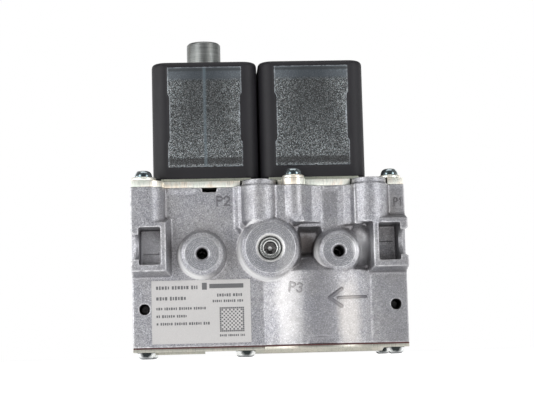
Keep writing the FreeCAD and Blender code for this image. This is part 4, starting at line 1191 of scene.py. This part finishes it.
def raised_strokes(name, strokes, width, height, skin):
    """Half-round beads along strokes, laid on the skin of another piece."""
    points, faces, ridges = [], [], []
    for stroke in strokes:
        line = round_ended(stroke, width / 2)
        faces += grid_faces(len(line) - 1, BEAD_SIDES, len(points))
        for index, (x, z, share) in enumerate(line):
            before = line[max(index - 1, 0)]
            after = line[min(index + 1, len(line) - 1)]
            along = Vector((after[0] - before[0], after[1] - before[1])).normalized()
            for side in range(BEAD_SIDES + 1):
                turn = math.pi * side / BEAD_SIDES
                aside = width / 2 * share * math.cos(turn)
                lift = height * share * math.sin(turn)
                across, up = x - along.y * aside, z + along.x * aside
                hit = skin.ray_cast(Vector((across, SEARCH_FRONT, up)) * MM, Vector((0, 1, 0)))[1]
                points.append((across, hit.y / MM + BEAD_SINK - lift, up))
                # the feet get a painted highlight, the crown painted shade
                ridges.append(BEAD_FOOT_HIGHLIGHT if side in (1, BEAD_SIDES - 1) else BEAD_CROWN_SHADE)
    made = mesh_piece(name, points, faces)
    store(made, "ridge", ridges)
    return made


def port_marks(skin, material):
    """The port letters, the flow arrow and the pocket seams, raised on the casting."""
    bpy.context.view_layer.update()
    marks = []
    for *letters, width in PORT_MARKS:
        marks.append((f"port_mark_{letters[0]}", letter_lines(*letters), width, LETTER_RISE))
    shaft_start = (ARROW_TIP[0] + ARROW_GAP, ARROW_TIP[1])
    marks.append(("flow_arrow_shaft", [straight(shaft_start, ARROW_TAIL)], *SHAFT_BEAD))
    marks.append(("flow_arrow_head", [straight(ARROW_TIP, end) for end in ARROW_WINGS], *HEAD_BEAD))
    for side, start, end in SEAMS:
        marks.append((f"{side}_pocket_seam", [straight(start, end)], *SEAM_BEAD))
    for name, lines, width, height in marks:
        made = raised_strokes(name, lines, width, height, skin)
        finish_piece(made, material, "valve", "cast_body")


def flat_bars(name, bars, front, depth):
    """Thin printed bars on an upright face: each bar is left, right, low and high."""
    points, faces = [], []
    for left, right, low, high in bars:
        start = len(points)
        for y in (front, front + depth):
            points += [(left, y, low), (right, y, low), (right, y, high), (left, y, high)]
        faces.append(tuple(start + corner for corner in (0, 1, 2, 3)))
        faces.append(tuple(start + corner for corner in (7, 6, 5, 4)))
        for corner in range(4):
            beside = (corner + 1) % 4
            faces.append((start + corner, start + corner + 4, start + beside + 4, start + beside))
    return mesh_piece(name, points, faces, smooth=False)


def printed_row(left, right, middle_z, height, count):
    """A row of small upright blocks in groups, uneven by a count; it spells nothing."""
    bars = []
    x = left
    while x < right - height * 0.3:
        count += 1
        wide = height * (BLOCK_WIDTH[0] + BLOCK_WIDTH[1] * ((count * 0.618) % 1.0))
        tall = height * (BLOCK_HALF[0] + BLOCK_HALF[1] * ((count * 0.414) % 1.0))
        bars.append((x, min(x + wide, right), middle_z - tall, middle_z + tall))
        x += wide + height * BLOCK_GAP
        if count % GROUP_SIZE == GROUP_SIZE - 1:
            x += height * GROUP_GAP
    return bars


def printed_lattice(left, foot, side):
    """A plain chequered square with a closed border."""
    cell = side / LATTICE_CELLS
    ends = (0, LATTICE_CELLS - 1)
    return [(left + column * cell, left + (column + LATTICE_FILL) * cell,
             foot + row * cell, foot + (row + LATTICE_FILL) * cell)
            for row in range(LATTICE_CELLS) for column in range(LATTICE_CELLS)
            if (row + column) % 2 == 0 or row in ends or column in ends]


def label_print(material):
    """The label's print as plain rows, bars and a lattice; none of it can be read."""
    low, high = corners("rating_label")
    wide, tall = high.x - low.x, high.z - low.z
    bars = []
    for number, (start, end, level, height) in enumerate(LABEL_ROWS):
        bars += printed_row(low.x + start * wide, low.x + end * wide, low.z + level * tall,
                            height, number * 7)
    for start, end, foot, top in LABEL_BARS:
        bars.append((low.x + start * wide, low.x + end * wide, low.z + foot * tall,
                     low.z + top * tall))
    bars += printed_lattice(low.x + LATTICE_CORNER[0] * wide, low.z + LATTICE_CORNER[1] * tall,
                            LATTICE_SIDE * wide)
    made = flat_bars("label_print", bars, low.y - PRINT_STANDOFF, PRINT_DEPTH)
    return finish_piece(made, material, "valve", "label")


def screw_rings(centre, radius, tip, crown, head):
    """Rings of one pan-head screw from its tip to its crown."""
    sign = 1 if crown > tip else -1
    seat = crown - sign * head
    rings = [ring(centre, "Z", TIP_RADIUS, tip),
             ring(centre, "Z", SHANK_RADIUS, tip + sign * TIP_LENGTH),
             ring(centre, "Z", SHANK_RADIUS, seat), ring(centre, "Z", radius * HEAD_FOOT, seat)]
    for step in range(HEAD_STEPS + 1):
        turn = math.radians(HEAD_CURVE[0] + HEAD_CURVE[1] * step / HEAD_STEPS)
        rings.append(ring(centre, "Z", radius * math.cos(turn) ** HEAD_FULLNESS[0],
                          seat + sign * head * math.sin(turn) ** HEAD_FULLNESS[1]))
    return rings


def slot_cutter(centre, crown, sign, number):
    """The block that cuts one screw's slot; each screw is turned a little further."""
    turn = Matrix.Rotation(math.radians(SLOT_TURN + SLOT_STEP * number), 2)
    long, wide = SLOT_HALF
    outline = ((-long, -wide), (long, -wide), (long, wide), (-long, wide))
    places = [turn @ Vector(corner) for corner in outline]
    return [[(centre[0] + x, centre[1] + y, level) for x, y in places]
            for level in (crown - sign * SLOT_DEPTH, crown + sign)]


def pan_screws(node, material, head, upward):
    """Slotted pan-head screws, one for every screw of a CAD node."""
    stacks, slots = [], []
    for number, (centre, radius, low, high) in enumerate(round_parts(node)):
        tip, crown, sign = (low, high, 1) if upward else (high, low, -1)
        stacks.append(screw_rings(centre, radius, tip, crown, head))
        slots.append(slot_cutter(centre, crown, sign, number))
    made = lofted(f"{node}_heads", stacks)
    cut_away(made, lofted("notches", slots))
    return finish_piece(made, material, "valve", "zinc_steel", node)


def washers(node, material):
    """Plate washers with rolled edges, one for every washer of a CAD node."""
    stacks = []
    for centre, radius, foot, top in round_parts(node):
        profile = [(WASHER_BORE, foot)]
        profile += [(radius - inset, foot + rise) for inset, rise in WASHER_FOOT]
        profile += [(radius - inset, top - drop) for inset, drop in WASHER_TOP]
        profile += [(WASHER_BORE + BORE_EDGE, top), (WASHER_BORE, top - BORE_EDGE), profile[0]]
        stacks.append([ring(centre, "Z", reach, level) for reach, level in profile])
    made = lofted(f"{node}_rings", stacks)
    return finish_piece(made, material, "valve", "yellow_zinc", node)


def adjuster_plug(material):
    """The adjusting plug: a rolled rim, a fine groove and a hexagon socket."""
    low, high = corners("regulator_adjuster")
    spot = middle("regulator_adjuster")
    radius = (high.x - low.x) / 2
    profile = [(radius, high.y, 0)]
    profile += [(radius - inset, low.y + depth, 0) for inset, depth in PLUG_RIM]
    profile += [(reach, low.y + depth, sides) for reach, depth, sides in PLUG_SOCKET]
    rings = [ring((spot.x, spot.z), "Y", reach, level, sides) for reach, level, sides in profile]
    made = lofted("adjuster_plug_head", [rings])
    return finish_piece(made, material, body_of("regulator_adjuster"), "turned_steel",
                        "regulator_adjuster")


def panel_width(up):
    """Half the width of a coil panel at one height: its middle is waisted."""
    begun, ended = (1 / (1 + math.exp(-(up - end) * WAIST_SHARPNESS)) for end in WAIST_ENDS)
    return PANEL_HALF - PANEL_WAIST * (begun - ended)


def panel_relief(up, edge):
    """How far a coil panel stands out at one height and distance from its edge."""
    lift = RIM_RISE * min(1.0, edge / RIM_BEVEL)
    length, curve = TOP_ROLL
    roll = max(0.0, (up - (PANEL_TOP - length)) / length) ** curve
    length, curve = FOOT_ROLL
    roll += max(0.0, ((PANEL_FOOT + length) - up) / length) ** curve
    sunk = BAND_DEPTH if PANEL_TOP - SUNK_BAND[0] < up < PANEL_TOP - SUNK_BAND[1] else 0.0
    return PANEL_STANDOFF + lift - roll * ROLL_DROP - sunk


def coil_panel(side, material, has_seam):
    """The raised front panel of a coil: waisted outline, rolled top and foot, light flash edge."""
    face = corners(f"{side}_coil_housing")[0].y
    axis = middle(f"{side}_fixed_core").x
    points, rim, seam = [], [], []
    for row in range(PANEL_ROWS + 1):
        up = PANEL_FOOT + (PANEL_TOP - PANEL_FOOT) * row / PANEL_ROWS
        half = panel_width(up)
        for column in range(PANEL_COLUMNS + 1):
            across = 2 * column / PANEL_COLUMNS - 1
            edge = min(half * (1 - abs(across)), up - PANEL_FOOT, PANEL_TOP - up)
            on_seam = has_seam and abs(across * half) < SEAM_HALF
            rise = panel_relief(up, edge) + (SEAM_RISE if on_seam else 0.0)
            points.append((axis + across * half, face - rise, up))
            rim.append(1.0 if edge < RIM_FLASH else 0.0)
            seam.append(1.0 if on_seam else 0.0)
    made = mesh_piece(f"{side}_coil_panel", points, grid_faces(PANEL_ROWS, PANEL_COLUMNS))
    store(made, "rim", rim)
    store(made, "seam", seam)
    solid = made.modifiers.new("depth", "SOLIDIFY")
    solid.thickness = PANEL_THICKNESS * MM
    solid.offset = -1.0
    bake_modifiers(made)
    return finish_piece(made, material, "valve", "coil_plastic")


def coil_case(side, material):
    """The coil's moulded housing with rounded edges."""
    made = node_copy(f"{side}_coil_housing", f"{side}_coil_case")
    bake_modifiers(made)
    cast_form(made, *COIL_FORM)
    return finish_piece(made, material, "valve", "coil_plastic", f"{side}_coil_housing")


def pressed_piece(node, name, material, width, slot):
    """A CAD node's own form with its sharp edges broken."""
    made = node_copy(node, name)
    edged_form(made, width)
    return finish_piece(made, material, body_of(node), slot, node)


def shortened_spring(node, joint, travel, axis, far_fixed, material):
    """A copy of a spring with smooth shading, at its full length; the joint and travel are not used.
    """
    low, high = corners(node)
    made = node_copy(node, f"{node}_wire")
    bake_modifiers(made)
    smooth_faces(made, 40.0)
    finish_piece(made, material, body_of(node), "spring_steel", node)
    along = "XYZ".index(axis)
    direction = Vector((0, 0, 0))
    direction[along] = 1.0
    anchor = middle(node)
    anchor[along] = high[along] if far_fixed else low[along]
    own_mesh(made)


def repaint(node, material):
    """Gives a carried-over CAD node its material."""
    mesh = frame["nodes"][node].data
    mesh.materials.clear()
    mesh.materials.append(material)


# ---------------------------------------------------------------- stage, light, camera

def pale_floor():
    """A plain floor that glows a little, so that no hard shadow shows."""
    far = FLOOR_REACH
    floor = mesh_piece("floor", [(-far, -far, 0), (far, -far, 0), (far, far, 0), (-far, far, 0)],
                       [(0, 1, 2, 3)], smooth=False)
    made, shader, _ = new_material("pale_floor")
    shader.inputs["Base Color"].default_value = FLOOR_TONE + (1,)
    shader.inputs["Roughness"].default_value = 0.9
    shader.inputs["Emission Color"].default_value = WHITE
    shader.inputs["Emission Strength"].default_value = FLOOR_GLOW
    floor.data.materials.append(made)


def surround():
    """A surround that looks white and lights the object softly."""
    world = bpy.data.worlds.new("surround")
    bpy.context.scene.world = world
    world.use_nodes = True
    tree = world.node_tree
    tree.nodes.clear()
    seen = add(tree, "ShaderNodeBackground", Color=WHITE, Strength=1.0)
    lighting = add(tree, "ShaderNodeBackground", Color=WHITE, Strength=SURROUND_STRENGTH)
    path = add(tree, "ShaderNodeLightPath")
    mix = add(tree, "ShaderNodeMixShader")
    output = add(tree, "ShaderNodeOutputWorld")
    feed(path.outputs["Is Camera Ray"], mix.inputs[0])
    feed(lighting.outputs[0], mix.inputs[1])
    feed(seen.outputs[0], mix.inputs[2])
    feed(mix.outputs[0], output.inputs["Surface"])


def soft_light(name, place, size, power):
    """A large rectangular light aimed at the middle of the object."""
    lamp = bpy.data.lights.new(name, "AREA")
    lamp.shape = "RECTANGLE"
    lamp.size = size[0] * MM
    lamp.size_y = size[1] * MM
    lamp.energy = power
    made = placed(name, lamp)
    made.location = Vector(place) * MM
    aim = Vector(LIGHT_TARGET) * MM - made.location
    made.rotation_euler = aim.to_track_quat("-Z", "Y").to_euler()


def camera():
    """The camera, nearly level with the foot of the object and slightly to its left."""
    azimuth = math.radians(VIEW_AZIMUTH)
    elevation = math.radians(VIEW_ELEVATION)
    roll = math.radians(VIEW_ROLL)
    back = Vector((math.sin(azimuth) * math.cos(elevation),
                   -math.cos(azimuth) * math.cos(elevation), math.sin(elevation)))
    right = Vector((math.cos(azimuth), math.sin(azimuth), 0))
    up = back.cross(right)
    turned_right = right * math.cos(roll) - up * math.sin(roll)
    turned_up = right * math.sin(roll) + up * math.cos(roll)
    lens = bpy.data.cameras.new("camera")
    lens.lens = VIEW_LENS
    lens.sensor_width = SENSOR_WIDTH
    lens.clip_start = CLIP_NEAR
    lens.clip_end = CLIP_FAR
    made = placed("camera", lens)
    spot = (Vector(VIEW_TARGET) + back * VIEW_DISTANCE) * MM
    turn = Matrix((turned_right, turned_up, back)).transposed()
    made.matrix_world = Matrix.Translation(spot) @ turn.to_4x4()
    bpy.context.scene.camera = made


# ---------------------------------------------------------------- assembly

def coil(side, materials):
    """The pieces that belong to one coil: case, panel, plate, yoke and washers."""
    coil_case(side, materials["coil_plastic"])
    resin = speckled_resin(f"{side}_panel_resin", middle(f"{side}_fixed_core").x)
    coil_panel(side, resin, side == "left")
    for node, name, material, width, slot in PAIRED_PRESSED:
        pressed_piece(f"{side}_{node}", f"{side}_{name}", materials[material], width, slot)
    washers(f"{side}_plate_washers", materials["yellow_zinc"])


def carried_nodes(materials):
    """Materials for the CAD nodes that keep their own form."""
    for node, material in CARRIED.items():
        repaint(node, materials[material])
    for side in SIDES:
        for node, material in PAIRED_CARRIED.items():
            repaint(f"{side}_{node}", materials[material])


def assemble():
    """The whole scene."""
    materials = all_materials()
    skin = casting(materials["cast_aluminium"])
    port_marks(skin, materials["cast_aluminium"])
    label_print(materials["label_ink"])
    for node, material, head, upward in SCREWS:
        pan_screws(node, materials[material], head, upward)
    adjuster_plug(materials["plug_steel"])
    for node, name, material, width, slot in SINGLE_PRESSED:
        pressed_piece(node, name, materials[material], width, slot)
    for side in SIDES:
        coil(side, materials)
    for spring in SPRINGS:
        shortened_spring(*spring, materials["spring_steel"])
    carried_nodes(materials)
    pale_floor()
    surround()
    for light in LIGHTS:
        soft_light(*light)
    camera()
    settings = bpy.context.scene.view_settings
    settings.view_transform = "Standard"
    settings.look = "None"


assemble()
